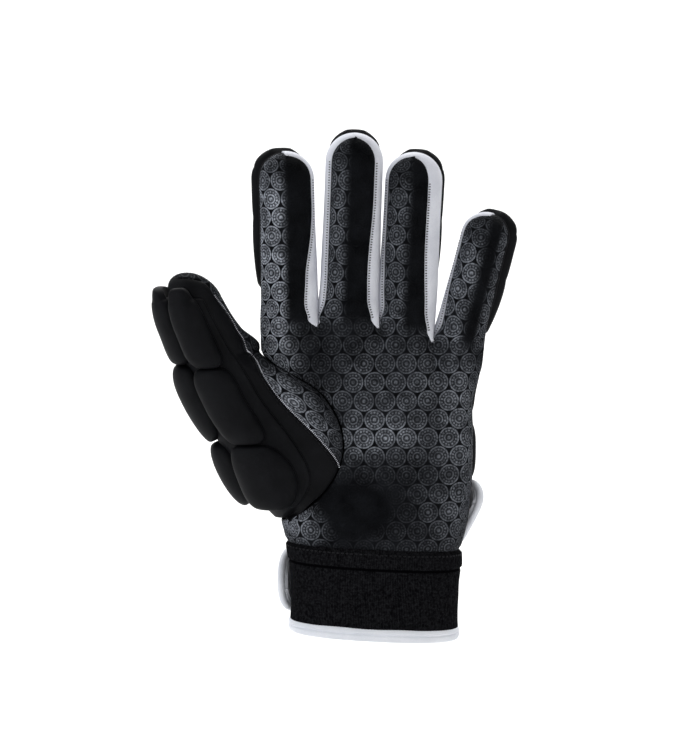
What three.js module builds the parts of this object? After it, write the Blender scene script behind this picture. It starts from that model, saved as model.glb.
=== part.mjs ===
// A left field hockey glove, as worn, in millimetres.
// +Z points along the fingers, +X towards the little finger, and the palm faces -Y.
// The origin is the middle of the cuff's mouth.
import * as THREE from "three";
import { mergeVertices } from "three/addons/utils/BufferGeometryUtils.js";

// Driving dimensions
const FABRIC = 1.6; // thickness of the panels
const GAP = 0.35; // left between neighbouring pieces
const SEAM_HEIGHT = 43.5; // the cuff's upper seam
const CUFF_TILT = -0.052; // rise of the cuff's mouth and seam along X
const HAND_ROUNDNESS = 2.4; // exponent of the hand's rounded section
const FINGER_BASE_DEPTH = 12.5; // half the depth of a finger where it leaves the hand
const FINGER_BASE_Y = -0.5;
const FABRIC_EDGE = 54; // degrees from the front to where the printed front ends on a finger
const BACK_EDGE = 58; // degrees from the back to where the black back ends on a finger
const OUTER_EDGE = 88.5; // degrees to the outer seam, where no strip lies between
const FRONT_TOP = 0.86; // share of the tip's height that the printed front reaches
const BACK_TOP = 0.93; // share of the tip's height that the black back reaches
const WEB_SHARE = 0.16; // share of a finger's length over which the web closes
const STRIP_INSET = 3; // degrees kept between a strip and the panels beside it
const WEB_INSET = 11; // more of them at the web, where the pieces meet at a corner
const STRIP_DIP = 1.2; // how far the middle of a strip dips into its finger's side
const THUMB_MIDDLE = 97; // height of the middle of the thumb's opening
const THUMB_REACH = 41; // half the height of the thumb's opening
const FRONT_BITE = 35; // how far the thumb's opening cuts into the palm
const BACK_BITE = 13; // how far it cuts into the back

// The hand from the cuff to the fingers: the height of each section and its four sides.
const HAND = [
  { z: 40, left: -42.2, right: 41.8, front: -24, back: 21 },
  { z: 50, left: -43.6, right: 44.6, front: -24, back: 21 },
  { z: 62, left: -46, right: 46.8, front: -23.5, back: 20 },
  { z: 80, left: -48, right: 47.8, front: -22, back: 18 },
  { z: 100, left: -50, right: 48, front: -19.5, back: 16.5 },
  { z: 120, left: -52.5, right: 47.6, front: -16.5, back: 15 },
  { z: 138, left: -54.6, right: 50.5, front: -14, back: 13.5 },
  { z: 155, left: -55.2, right: 54, front: -13, back: 12 },
];

// Where the crotches between the fingers lie, from the index's outer side to the little's.
const CROTCHES = [
  { x: -55, z: 148.5 },
  { x: -27.1, z: 151.8 },
  { x: 2.3, z: 150.8 },
  { x: 28.4, z: 144.2 },
  { x: 52.6, z: 138 },
];

// Each finger: the middle of its round tip, half its width there, and its twist in degrees.
const FINGERS = [
  { name: "index", x: -42.6, y: -5, z: 220.5, width: 13.6, depth: 11.6, twist: 12, padStart: 0.2 },
  { name: "middle", x: -9.6, y: -6, z: 229.2, width: 13.6, depth: 11.6, twist: 0, padStart: 0.2 },
  { name: "ring", x: 18.9, y: -5, z: 220, width: 13.6, depth: 11.4, twist: -12, padStart: 0.2 },
  { name: "little", x: 53.6, y: -3, z: 193.2, width: 11.8, depth: 10.8, twist: -16, padStart: 0.07 },
];

// The thumb in level slices, from below its opening to its tip: each is an oval about x and y.
// The printed panel ends in front at the angle edge, the pads end at the angle pad, and the
// groove between their two columns lies at the angle split.
const THUMB = [
  { z: 57.5, x: -44.5, y: -1, across: 4, depth: 8, edge: 60, pad: 22, split: -62 },
  { z: 66, x: -42, y: -2.5, across: 14, depth: 19, edge: 60, pad: 14, split: -62 },
  { z: 80, x: -38, y: -4, across: 27, depth: 22, edge: 52, pad: 3, split: -60 },
  { z: 97, x: -42, y: -6.5, across: 31, depth: 21.5, edge: 31, pad: -8, split: -58 },
  { z: 115, x: -54, y: -9.5, across: 28, depth: 20, edge: 22, pad: -11, split: -55 },
  { z: 126, x: -62.5, y: -11.5, across: 24, depth: 18.5, edge: 27, pad: -6, split: -53 },
  { z: 134, x: -68, y: -13.5, across: 19.5, depth: 17.5, edge: 37, pad: -2, split: -51 },
  { z: 140, x: -72.5, y: -15, across: 17, depth: 16.3, edge: 43, pad: 0, split: -50 },
  { z: 148, x: -77, y: -17.5, across: 15, depth: 15, edge: 56, pad: 3, split: -49 },
  { z: 156, x: -81.3, y: -20, across: 13.6, depth: 14, edge: 66, pad: 6, split: -48 },
  { z: 165, x: -85, y: -22.5, across: 12.3, depth: 13, edge: 54, pad: 7, split: -48 },
];
const THUMB_TIP = 12.5; // height of its round tip
const THUMB_LEAN = { x: -0.33, y: -0.22, z: 0.92 };
const WEB_RISE = 12; // height over which the web between thumb and index fades out
const THUMB_SPREAD = 50; // degrees over which the thumb turns into the hand
const THUMB_BACK_EDGE = 140; // degrees to the printed panel's far seam
const PAD_END = -150; // degrees to the far edge of the rear column
const FLANGE = 14; // degrees by which the foam layer shows beside the pads
const FOAM = 2.5; // thickness of that layer
const PAD_LIFT = 0.8; // gap under the padding, where coarse faces curve apart

// The thumb's pads from the hand up: the rows of slices between which each lies.
const THUMB_PADS = [
  { from: 1.1, to: 2.9 },
  { from: 3.0, to: 5.75 },
  { from: 5.95, to: 9.95 },
];
const THUMB_PAD_HEIGHT = 9.5;

const lerp = THREE.MathUtils.lerp;
const clamp = THREE.MathUtils.clamp;
const radians = THREE.MathUtils.degToRad;
const smooth = (t) => THREE.MathUtils.smoothstep(t, 0, 1);

// A smooth curve through four neighbouring values, from b to c.
function through(a, b, c, d, t) {
  const t2 = t * t;
  const t3 = t2 * t;
  return (
    0.5 *
    (2 * b + (c - a) * t + (2 * a - 5 * b + 4 * c - d) * t2 + (3 * b - a - 3 * c + d) * t3)
  );
}

// The value of one column of a table at a place between its rows.
function column(table, place, key, at) {
  let row = 0;
  while (row < table.length - 2 && at > table[row + 1][place]) row += 1;
  const pick = (index) => table[clamp(index, 0, table.length - 1)][key];
  const step = table[row + 1][place] - table[row][place];
  const share = clamp((at - table[row][place]) / step, 0, 1);
  return through(pick(row - 1), pick(row), pick(row + 1), pick(row + 2), share);
}

// Sheets and solids

// A grid of points: make(u, v) gives the point, with u and v from 0 to 1.
function grid(columns, rows, make) {
  const points = [];
  const faces = [];
  for (let row = 0; row <= rows; row += 1) {
    for (let col = 0; col <= columns; col += 1) {
      points.push(make(col / columns, row / rows));
    }
  }
  const at = (col, row) => row * (columns + 1) + col;
  for (let row = 0; row < rows; row += 1) {
    for (let col = 0; col < columns; col += 1) {
      faces.push([at(col, row), at(col + 1, row), at(col + 1, row + 1)]);
      faces.push([at(col, row), at(col + 1, row + 1), at(col, row + 1)]);
    }
  }
  return { points, faces };
}

// Several sheets as one, with the points that they share welded.
function weld(sheets) {
  const points = [];
  const faces = [];
  const known = new Map();
  for (const sheet of sheets) {
    const index = sheet.points.map((point) => {
      const key = [point.x, point.y, point.z].map((value) => Math.round(value * 100)).join();
      if (!known.has(key)) {
        known.set(key, points.length);
        points.push(point);
      }
      return known.get(key);
    });
    for (const face of sheet.faces) {
      const [a, b, c] = face.map((corner) => index[corner]);
      if (a !== b && b !== c && a !== c) faces.push([a, b, c]);
    }
  }
  return { points, faces };
}

// The border of a sheet: its edges that only one face uses.
function borderOf(faces) {
  const used = new Map();
  for (const [a, b, c] of faces) {
    used.set(a + "," + b, [a, b]);
    used.set(b + "," + c, [b, c]);
    used.set(c + "," + a, [c, a]);
  }
  return [...used.values()].filter(([from, to]) => !used.has(to + "," + from));
}

// Each point's normal. On the border it is carried on from inside the sheet, so that the
// rims of two sheets that meet at a seam stand side by side.
function normalsOf({ points, faces }) {
  const normals = points.map(() => new THREE.Vector3());
  for (const [a, b, c] of faces) {
    const edge = points[b].clone().sub(points[a]);
    const normal = edge.cross(points[c].clone().sub(points[a]));
    for (const corner of [a, b, c]) normals[corner].add(normal);
  }
  normals.forEach((normal) => normal.normalize());
  const border = new Set(borderOf(faces).flat());
  const inside = new Map();
  for (const face of faces) {
    for (const corner of face.filter((point) => border.has(point))) {
      const sum = inside.get(corner) || new THREE.Vector3();
      for (const other of face) if (!border.has(other)) sum.add(normals[other]);
      inside.set(corner, sum);
    }
  }
  return normals.map((normal, i) => {
    const next = inside.get(i);
    if (!next || next.length() === 0) return normal;
    return normal.clone().multiplyScalar(2).sub(next.normalize()).normalize();
  });
}

// A closed body between a sheet raised by outer(i) and the same sheet raised by inner(i).
function shell(sheet, outer, inner) {
  const normals = normalsOf(sheet);
  const count = sheet.points.length;
  const raised = (height) =>
    sheet.points.map((point, i) => point.clone().addScaledVector(normals[i], height(i)));
  const points = [...raised(outer), ...raised(inner)];
  const faces = [];
  for (const [a, b, c] of sheet.faces) {
    faces.push([a, b, c], [c + count, b + count, a + count]);
  }
  for (const [from, to] of borderOf(sheet.faces)) {
    faces.push([to, from, from + count], [to, from + count, to + count]);
  }
  const geometry = new THREE.BufferGeometry();
  const flat = points.flatMap((point) => [point.x, point.y, point.z]);
  geometry.setAttribute("position", new THREE.Float32BufferAttribute(flat, 3));
  geometry.setIndex(faces.flat());
  return mergeVertices(geometry, 1e-4);
}

const cloth = (sheet, thickness = FABRIC) =>
  shell(
    sheet,
    () => 0,
    () => -thickness,
  );

// Fingers

// One finger's straight length from its base to the middle of its round tip.
function fingerFrame(index) {
  const finger = FINGERS[index];
  const left = CROTCHES[index];
  const right = CROTCHES[index + 1];
  const base = new THREE.Vector3(
    (left.x + right.x) / 2,
    FINGER_BASE_Y,
    (left.z + right.z) / 2,
  );
  const tip = new THREE.Vector3(finger.x, finger.y, finger.z);
  const axis = tip.clone().sub(base).normalize();
  const across = new THREE.Vector3((right.x - left.x) / 2, 0, (right.z - left.z) / 2);
  return { finger, base, tip, axis, across };
}

// A point on a finger: share along it, and a direction from its middle line, with x to the
// little finger's side, y to the back and z over the tip. Towards the base the sides close
// up to the web, which is flat between the crotches.
function fingerPoint(index, share, direction, edge) {
  const { finger, base, tip, axis, across } = fingerFrame(index);
  const twist = radians(finger.twist) * smooth(share * 1.6);
  const back = new THREE.Vector3(0, 1, 0);
  back.addScaledVector(axis, -back.dot(axis)).normalize();
  const side = back.clone().cross(axis);
  const turnedSide = side.clone().multiplyScalar(Math.cos(twist));
  turnedSide.addScaledVector(back, Math.sin(twist));
  const turnedBack = back.clone().multiplyScalar(Math.cos(twist));
  turnedBack.addScaledVector(side, -Math.sin(twist));
  const straight = smooth(share / 0.3);
  const upright = new THREE.Vector3(0, 1, 0);
  const half = across.clone().lerp(turnedSide.multiplyScalar(finger.width), straight);
  const depth = lerp(FINGER_BASE_DEPTH, finger.depth, smooth(share));
  const web = 1 - smooth(share / WEB_SHARE);
  const closed = clamp(direction.x / edge, -1, 1);
  const point = base.clone().lerp(tip, share);
  point.addScaledVector(half, lerp(direction.x, closed, web));
  point.addScaledVector(upright.lerp(turnedBack, straight).normalize(), depth * direction.y);
  point.addScaledVector(axis, finger.width * direction.z);
  return point;
}

// The seam angles of one side of the hand, front or back, for one finger.
function edgesOf(index, inner) {
  return {
    left: index === 0 ? OUTER_EDGE : inner,
    right: index === FINGERS.length - 1 ? OUTER_EDGE : inner,
  };
}

// The direction at an angle from the front, on the row phi of the round tip.
function tipDirection(angle, phi, top, facing) {
  const x = Math.sin(radians(angle)) * Math.cos(phi);
  const z = top * Math.sin(phi);
  const y = facing * Math.sqrt(Math.max(0, 1 - x * x - z * z));
  return new THREE.Vector3(x, y, z);
}

// How high a finger's face reaches on its round tip: to the strip's end, and on a side with no
// strip between the two faces, up to the crown.
function topAt(index, angle, top) {
  const seam = GAP / FINGERS[index].width;
  const outwards = { 0: -angle, 3: angle }[index] ?? 0;
  return lerp(top - seam, 1 - seam / 10, smooth(outwards / OUTER_EDGE));
}

const STRAIGHT_ROWS = 6;
const TIP_ROWS = 3;
const FINGER_COLUMNS = 5;

// The front or back of one finger, over its length and its round tip.
function fingerFace(index, facing, inner, top) {
  const { left, right } = edgesOf(index, inner);
  const edge = Math.sin(radians(inner));
  const rows = STRAIGHT_ROWS + TIP_ROWS;
  return grid(FINGER_COLUMNS, rows, (u, v) => {
    const across = facing < 0 ? u : 1 - u;
    const angle = lerp(-left, right, across);
    const row = v * rows;
    const share = Math.min(row / STRAIGHT_ROWS, 1);
    const phi = (Math.max(0, row - STRAIGHT_ROWS) / TIP_ROWS) * (Math.PI / 2);
    const direction = tipDirection(angle, phi, topAt(index, angle, top), facing);
    return fingerPoint(index, share, direction, edge);
  });
}

// The hand

// Where the thumb's opening cuts into a side of the hand at a height.
function bite(z, depth) {
  const rise = clamp((z - THUMB_MIDDLE) / THUMB_REACH, -1, 1);
  return depth * (1 - rise * rise) ** 0.8;
}

// The hand's side at a height, from x: y is that of its rounded section.
function handPoint(x, z, facing) {
  const left = column(HAND, "z", "left", z);
  const right = column(HAND, "z", "right", z);
  const front = column(HAND, "z", "front", z);
  const back = column(HAND, "z", "back", z);
  const middle = (front + back) / 2;
  const across = clamp((2 * x - left - right) / (right - left), -1, 1);
  const bulge = (1 - Math.abs(across) ** HAND_ROUNDNESS) ** (1 / HAND_ROUNDNESS);
  const depth = (back - front) / 2;
  return new THREE.Vector3(x, middle + facing * (depth * bulge + GAP), z);
}

// A point of the hand between the cuff's seam, rise 0, and a finger's base, rise 1.
function handFace(index, angle, rise, facing, inner) {
  const direction = tipDirection(angle, 0, 1, facing);
  const edge = Math.sin(radians(inner));
  const top = fingerPoint(index, 0, direction, edge);
  const first = CROTCHES[0].x;
  const last = CROTCHES[CROTCHES.length - 1].x;
  const share = (top.x - first) / (last - first);
  const seamLeft = column(HAND, "z", "left", SEAM_HEIGHT);
  const seamRight = column(HAND, "z", "right", SEAM_HEIGHT);
  const seamX = lerp(seamLeft, seamRight, share);
  const z = lerp(SEAM_HEIGHT + CUFF_TILT * seamX + GAP, top.z, rise);
  const cut = bite(z, facing < 0 ? FRONT_BITE : BACK_BITE);
  const x = lerp(column(HAND, "z", "left", z) + cut, column(HAND, "z", "right", z), share);
  const point = handPoint(x, z, facing);
  const nearTop = smooth((rise - 0.7) / 0.3);
  point.x = lerp(point.x, top.x, nearTop);
  point.y = lerp(point.y, top.y, nearTop);
  return point;
}

const HAND_ROWS = 9;

// One side of the whole hand: its four fingers, and the hand below them, as one sheet.
function handSheet(facing, inner, top) {
  const sheets = [];
  FINGERS.forEach((finger, index) => {
    const { left, right } = edgesOf(index, inner);
    sheets.push(fingerFace(index, facing, inner, top));
    sheets.push(
      grid(FINGER_COLUMNS, HAND_ROWS, (u, v) => {
        const across = facing < 0 ? u : 1 - u;
        return handFace(index, lerp(-left, right, across), v, facing, inner);
      }),
    );
  });
  return weld(sheets);
}

// The strip between two fingers: from one tip down its side, through the crotch and up.
function fourchette(index) {
  const half = STRAIGHT_ROWS + TIP_ROWS;
  return grid(3, 2 * half, (u, v) => {
    const step = Math.abs(v * 2 * half - half);
    const rising = v > 0.5;
    const finger = rising ? index + 1 : index;
    const side = rising ? -1 : 1;
    const share = lerp(0.006, 1, Math.min(step / STRAIGHT_ROWS, 1));
    const phi = (Math.max(0, step - STRAIGHT_ROWS) / TIP_ROWS) * (Math.PI / 2) * 0.985;
    const seam = STRIP_INSET + WEB_INSET * (1 - smooth(share / (2 * WEB_SHARE)));
    const front = tipDirection(side * (FABRIC_EDGE + seam), phi, FRONT_TOP, -1);
    const back = tipDirection(side * (BACK_EDGE + seam), phi, BACK_TOP, 1);
    const turn = lerp(Math.atan2(front.x, front.z), Math.atan2(back.x, back.z), u);
    const lift = lerp(Math.asin(front.y), Math.asin(back.y), u);
    const direction = new THREE.Vector3(
      Math.cos(lift) * Math.sin(turn),
      Math.sin(lift),
      Math.cos(lift) * Math.cos(turn),
    );
    const point = fingerPoint(finger, share, direction, Math.sin(radians(FABRIC_EDGE)));
    point.x -= side * STRIP_DIP * 4 * u * (1 - u) * smooth(share / 0.08) * Math.cos(phi);
    if (step === 0) {
      const other = fingerPoint(index + 1, share, direction, Math.sin(radians(FABRIC_EDGE)));
      point.z = Math.max(point.z, other.z);
    }
    return point;
  });
}

// Thumb

const THUMB_ROWS = THUMB.length - 1;

const thumbValue = (key, at) => {
  const row = clamp(Math.floor(at), 0, THUMB_ROWS - 1);
  const pick = (index) => THUMB[clamp(index, 0, THUMB_ROWS)][key];
  return through(pick(row - 1), pick(row), pick(row + 1), pick(row + 2), Math.min(at, THUMB_ROWS) - row);
};

// The hand's edge round the thumb's opening, in front or behind, at a height.
function openingEdge(z, facing) {
  const inner = facing < 0 ? FABRIC_EDGE : BACK_EDGE;
  const low = handFace(0, -OUTER_EDGE, 0, facing, inner).z;
  const high = handFace(0, -OUTER_EDGE, 1, facing, inner).z;
  const held = Math.min(z, THUMB_MIDDLE + THUMB_REACH);
  const point = handFace(0, -OUTER_EDGE, (held - low) / (high - low), facing, inner);
  return point.setZ(z).add(new THREE.Vector3(-3 * GAP, 0, 0));
}

// A slice's oval at an angle: 0 is its front, 90 degrees its side towards the index.
function thumbOval(at, degrees) {
  const angle = radians(degrees);
  const x = thumbValue("x", at) + thumbValue("across", at) * Math.sin(angle);
  const y = thumbValue("y", at) - thumbValue("depth", at) * Math.cos(angle);
  return new THREE.Vector3(x, y, thumbValue("z", at));
}

// The angle of a slice at which it reaches the hand's edge, in front or behind.
function handAngle(at, facing) {
  const edge = openingEdge(thumbValue("z", at), facing);
  const sine = (edge.x - thumbValue("x", at)) / thumbValue("across", at);
  const angle = THREE.MathUtils.radToDeg(Math.asin(clamp(sine, -0.985, 0.985)));
  return facing < 0 ? angle : -180 - angle;
}

// A point on the thumb: at counts the slices, and one more takes it over the round tip.
// Near the opening the oval is drawn out to the hand's edge, and above it to the web.
function thumbPoint(at, degrees) {
  const slice = Math.min(at, THUMB_ROWS);
  const point = thumbOval(slice, degrees);
  const fade = 1 - smooth((point.z - THUMB_MIDDLE - THUMB_REACH) / WEB_RISE);
  const front = handAngle(slice, -1);
  const back = handAngle(slice, 1);
  const turn = ((degrees + 450) % 360) - 180;
  const first = front - 90;
  const last = back + 270;
  const away = Math.max(first - turn, turn - last);
  const pull = openingEdge(point.z, -1).sub(thumbOval(slice, front));
  const backPull = openingEdge(point.z, 1).sub(thumbOval(slice, back));
  pull.lerp(backPull, clamp((turn - first) / (last - first), 0, 1));
  point.addScaledVector(pull, fade * (1 - smooth(away / THUMB_SPREAD)));
  if (at <= THUMB_ROWS) return point;
  const phi = (at - THUMB_ROWS) * (Math.PI / 2);
  const middle = new THREE.Vector3(thumbValue("x", slice), thumbValue("y", slice), point.z);
  const lean = new THREE.Vector3(THUMB_LEAN.x, THUMB_LEAN.y, THUMB_LEAN.z);
  const tip = middle.clone().lerp(point, Math.cos(phi));
  return tip.addScaledVector(lean, THUMB_TIP * Math.sin(phi));
}

const THUMB_END = THUMB_ROWS + 0.96;

// The degrees kept from each side of a seam along the thumb, more of them near the tip.
function seamTurn(at) {
  const even = THREE.MathUtils.radToDeg(GAP / thumbValue("across", at));
  return lerp(even, 16, clamp(at - THUMB_ROWS, 0, 1));
}

// The front seam of the printed panel: at the tip it turns across to the far side.
function printedEdge(at) {
  const turned = smooth((at - THUMB_ROWS - 0.1) / 0.25);
  return lerp(Math.min(thumbValue("edge", at), handAngle(Math.min(at, THUMB_ROWS), -1)), -95, turned);
}

// The far seam: below the web both panels end at the hand's edge.
function farEdge(at, facing) {
  const closed = smooth((thumbValue("z", at) - THUMB_MIDDLE - THUMB_REACH) / WEB_RISE);
  const reach = handAngle(Math.min(at, THUMB_ROWS), facing);
  return lerp(reach, facing < 0 ? THUMB_BACK_EDGE : THUMB_BACK_EDGE - 360, closed);
}

// A sheet on the thumb through the given slices, between two angles at each.
function thumbSheet(columns, slices, from, to) {
  return grid(columns, slices.length - 1, (u, v) => {
    const at = slices[Math.round(v * (slices.length - 1))];
    return thumbPoint(at, lerp(from(at), to(at), u));
  });
}

// Padding

// A puffed pad on a surface: place(u, v) with u and v from -1 to 1, rounded corners,
// a thin edge and a crowned top.
function pad({ place, columns, rows, height, edge, lift = PAD_LIFT, corner = 0.2, lobes = 1 }) {
  const sheet = grid(columns, rows, (u, v) => {
    const a = 2 * u - 1;
    const b = 2 * v - 1;
    const softA = a * Math.sqrt(1 - corner * b ** 4);
    const softB = b * Math.sqrt(1 - corner * a ** 4);
    return place(softA, softB);
  });
  const crown = (i) => {
    const a = (2 * (i % (columns + 1))) / columns - 1;
    const b = (2 * Math.floor(i / (columns + 1))) / rows - 1;
    const across = (1 - a ** 6) ** 0.4;
    const phase = ((b + 1) / 2) * lobes;
    const within = 2 * (phase - Math.min(Math.floor(phase), lobes - 1)) - 1;
    const inner = Math.abs(b) < 0.999 ? 0.35 : 0;
    const along = lerp(inner, 1, (1 - within ** 6) ** 0.4);
    return lift + edge + (height - edge) * across * along;
  };
  return shell(sheet, crown, () => lift);
}

// Cuff and strap

// The cuff's oval at a height, grown outwards: angle 0 at the front.
const CUFF_LEVELS = [
  { z: 0, left: -41, right: 41, depth: 24.5, middle: -1 },
  { z: 12, left: -40.3, right: 40.8, depth: 24, middle: -1 },
  { z: 26, left: -40.4, right: 41.6, depth: 23.4, middle: -1.2 },
  { z: 36, left: -41.4, right: 42.3, depth: 23.2, middle: -1.4 },
  { z: 44, left: -42.4, right: 42.2, depth: 23, middle: -1.5 },
];

function cuffPoint(angle, z, grow) {
  const left = column(CUFF_LEVELS, "z", "left", z) - grow;
  const right = column(CUFF_LEVELS, "z", "right", z) + grow;
  const depth = column(CUFF_LEVELS, "z", "depth", z) + grow;
  const middle = column(CUFF_LEVELS, "z", "middle", z);
  const power = 2 / HAND_ROUNDNESS;
  const round = (value) => Math.sign(value) * Math.abs(value) ** power;
  const x = lerp(left, right, (1 + round(Math.sin(angle))) / 2);
  return new THREE.Vector3(x, middle - depth * round(Math.cos(angle)), z + CUFF_TILT * x);
}

const CUFF_WALL = 2.2;
const BINDING_HEIGHT = 6.4;
const BINDING_THICKNESS = 4;
const CUFF_SIDES = 24;

function cuffBand() {
  const sheet = grid(CUFF_SIDES, 4, (u, v) => {
    const z = lerp(BINDING_HEIGHT + GAP, SEAM_HEIGHT, v);
    return cuffPoint(2 * Math.PI * u, z, 0);
  });
  return cloth(weld([sheet]), CUFF_WALL);
}

// The binding: a rounded section carried round the mouth.
function cuffBinding() {
  const sheet = grid(CUFF_SIDES, 8, (u, v) => {
    const turn = 2 * Math.PI * v;
    const grow = -CUFF_WALL / 2 + (BINDING_THICKNESS / 2) * Math.sin(turn);
    const z = BINDING_HEIGHT / 2 - (BINDING_HEIGHT / 2) * Math.cos(turn);
    return cuffPoint(2 * Math.PI * u, z, grow);
  });
  const { points, faces } = weld([sheet]);
  const geometry = new THREE.BufferGeometry();
  const flat = points.flatMap((point) => [point.x, point.y, point.z]);
  geometry.setAttribute("position", new THREE.Float32BufferAttribute(flat, 3));
  geometry.setIndex(faces.flat());
  return geometry;
}

// The strap's middle line round the back of the wrist, from the little finger's side to its
// free end beside the cuff, as heights and distances off the cuff. It leans outwards at its
// upper edge by the distance lean.
const STRAP_WIDTH = 30;
const STRAP_THICKNESS = 2.4;
const PIPING = 1.9; // radius of the white edge
const WRIST_FLARE = 0.17; // how fast the hand widens above the cuff
const STRAP_LINE = [
  { at: 0, degrees: 84, z: 60, off: 5.2, lean: 3.2 },
  { at: 0.12, degrees: 99, z: 57.5, off: 7, lean: 3.2 },
  { at: 0.35, degrees: 138, z: 47, off: 6, lean: 1 },
  { at: 0.62, degrees: 195, z: 36, off: 5, lean: 0 },
  { at: 0.86, degrees: 241, z: 28, off: 4.6, lean: 0 },
  { at: 1, degrees: 267, z: 25.5, off: 7.4, lean: 0 },
];

// The wrist under the strap: the cuff's oval, and the hand's above the seam.
function wristPoint(angle, z, grow) {
  const above = Math.max(0, z - SEAM_HEIGHT);
  const point = cuffPoint(angle, Math.min(z, SEAM_HEIGHT), grow + WRIST_FLARE * above);
  return point.setZ(z + CUFF_TILT * point.x);
}

function strapPoint(at, across, lift) {
  const degrees = column(STRAP_LINE, "at", "degrees", at);
  const z = column(STRAP_LINE, "at", "z", at) + (across * STRAP_WIDTH) / 2;
  const off = column(STRAP_LINE, "at", "off", at) + across * column(STRAP_LINE, "at", "lean", at);
  return wristPoint(radians(degrees), z, off + lift);
}

// Both ends are round: the strap narrows there.
const roundEnds = (at) => 1 - clamp((at - 0.88) / 0.12, 0, 1) ** 2 - clamp(1 - at / 0.1, 0, 1) ** 2;
const strapHalf = (at) => Math.sqrt(Math.max(0.12, roundEnds(at)));

const STRAP_START = 0.05; // where the strap starts inside its piping
const STRAP_END = 0.955; // and where it ends

function wristStrap() {
  const inset = 1 - (2 * PIPING + 2 * GAP) / STRAP_WIDTH;
  const sheet = grid(4, 22, (u, v) => {
    const at = lerp(STRAP_START, STRAP_END, v);
    const held = at + 0.045 * smooth((at - 0.8) / 0.15) - 0.03 * (1 - smooth((at - STRAP_START) / 0.1));
    return strapPoint(at, (2 * u - 1) * inset * strapHalf(held), 0);
  });
  return cloth(sheet, STRAP_THICKNESS);
}

// The white piping all round the strap, butted in the middle of its fixed end.
function strapPiping() {
  const steps = 56;
  const line = [];
  for (let i = 0; i <= steps; i += 1) {
    const way = 0.994 * ((2 * i) / steps - 1);
    const at = (1 + Math.cos(Math.PI * way)) / 2;
    const across = Math.sign(way) * Math.sqrt(Math.max(0, roundEnds(at)));
    line.push(strapPoint(at, across, -STRAP_THICKNESS / 2));
  }
  const curve = new THREE.CatmullRomCurve3(line);
  const section = new THREE.Shape();
  section.absarc(0, 0, PIPING, 0, 2 * Math.PI);
  return new THREE.ExtrudeGeometry(section, {
    steps: steps,
    curveSegments: 4,
    bevelEnabled: false,
    extrudePath: curve,
  });
}

const COLOURS = {
  print: { color: 0x17181b, roughness: 0.6 },
  black: { color: 0x0c0d0f, roughness: 0.55 },
  white: { color: 0xdadde4, roughness: 0.7 },
  knit: { color: 0x17181a, roughness: 0.85 },
};

const glove = new THREE.Group();

function add(name, geometry, finish) {
  const material = new THREE.MeshStandardMaterial({ ...COLOURS[finish], metalness: 0 });
  const mesh = new THREE.Mesh(geometry, material);
  mesh.name = name;
  glove.add(mesh);
}

add("palm_panel", cloth(handSheet(-1, FABRIC_EDGE, FRONT_TOP)), "print");
add("back_panel", cloth(handSheet(1, BACK_EDGE, BACK_TOP)), "black");
for (let index = 0; index < FINGERS.length - 1; index += 1) {
  const name = "fourchette_" + FINGERS[index].name + "_" + FINGERS[index + 1].name;
  add(name, cloth(fourchette(index)), "white");
}

// The slices that the thumb's two panels share, so that their seam is one line.
const LOW_SLICES = [0.35, 0.9, 1.5, 2.1];
const HIGH_SLICES = [2.75, 3.5, 4.2, 5, 5.7, 6.4, 7.2, 8, 9, 10, 10.15, 10.3, 10.5, 10.75, THUMB_END];
const printSheet = thumbSheet(
  6,
  HIGH_SLICES,
  (at) => printedEdge(at) + seamTurn(at),
  (at) => farEdge(at, -1) - seamTurn(at) / 2,
);
const backSheet = thumbSheet(
  12,
  [...LOW_SLICES, ...HIGH_SLICES],
  (at) => farEdge(at, 1) + seamTurn(at),
  (at) => printedEdge(at) - seamTurn(at),
);
const foamSheet = thumbSheet(
  9,
  [...LOW_SLICES.slice(1), ...HIGH_SLICES.slice(0, 10)],
  () => PAD_END - 8,
  (at) => thumbValue("pad", at) + FLANGE,
);
add("thumb_palm_panel", cloth(printSheet), "print");
add("thumb_back_panel", cloth(backSheet), "black");
add("thumb_pad_base", shell(foamSheet, () => PAD_LIFT + FOAM, () => PAD_LIFT), "black");

THUMB_PADS.forEach((row, index) => {
  const edges = [
    { name: "front", from: (at) => thumbValue("split", at) + 1, to: (at) => thumbValue("pad", at) },
    { name: "rear", from: () => PAD_END + 1, to: (at) => thumbValue("split", at) - 1 },
  ];
  for (const { name, from, to } of edges) {
    const place = (a, b) => {
      const at = lerp(row.from, row.to, (1 + b) / 2);
      return thumbPoint(at, lerp(from(at), to(at), (1 + a) / 2));
    };
    const lift = PAD_LIFT + FOAM + 1.8 * GAP;
    const made = pad({ place, columns: 6, rows: 6, height: THUMB_PAD_HEIGHT, edge: 1, lift });
    add("thumb_pad_" + name + "_" + (index + 1), made, "black");
  }
});

// A finger's back pad runs from past the web over its tip, in three lobes.
const OUTER_PAD = 64; // degrees to its edge on the hand's outer sides
FINGERS.forEach((finger, index) => {
  const { left, right } = edgesOf(index, BACK_EDGE);
  const place = (a, b) => {
    const run = lerp(finger.padStart, 1.72, (1 + b) / 2);
    const angle = lerp(Math.min(right - 4, OUTER_PAD), -Math.min(left - 4, OUTER_PAD), (1 + a) / 2);
    const phi = Math.max(0, run - 1) * (Math.PI / 2);
    const direction = tipDirection(angle, phi, BACK_TOP, 1);
    return fingerPoint(index, Math.min(run, 1), direction, Math.sin(radians(BACK_EDGE)));
  };
  const made = pad({ place, columns: 6, rows: 12, height: 8, edge: 2, lobes: 3 });
  add(finger.name + "_back_pad", made, "black");
});

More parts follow.
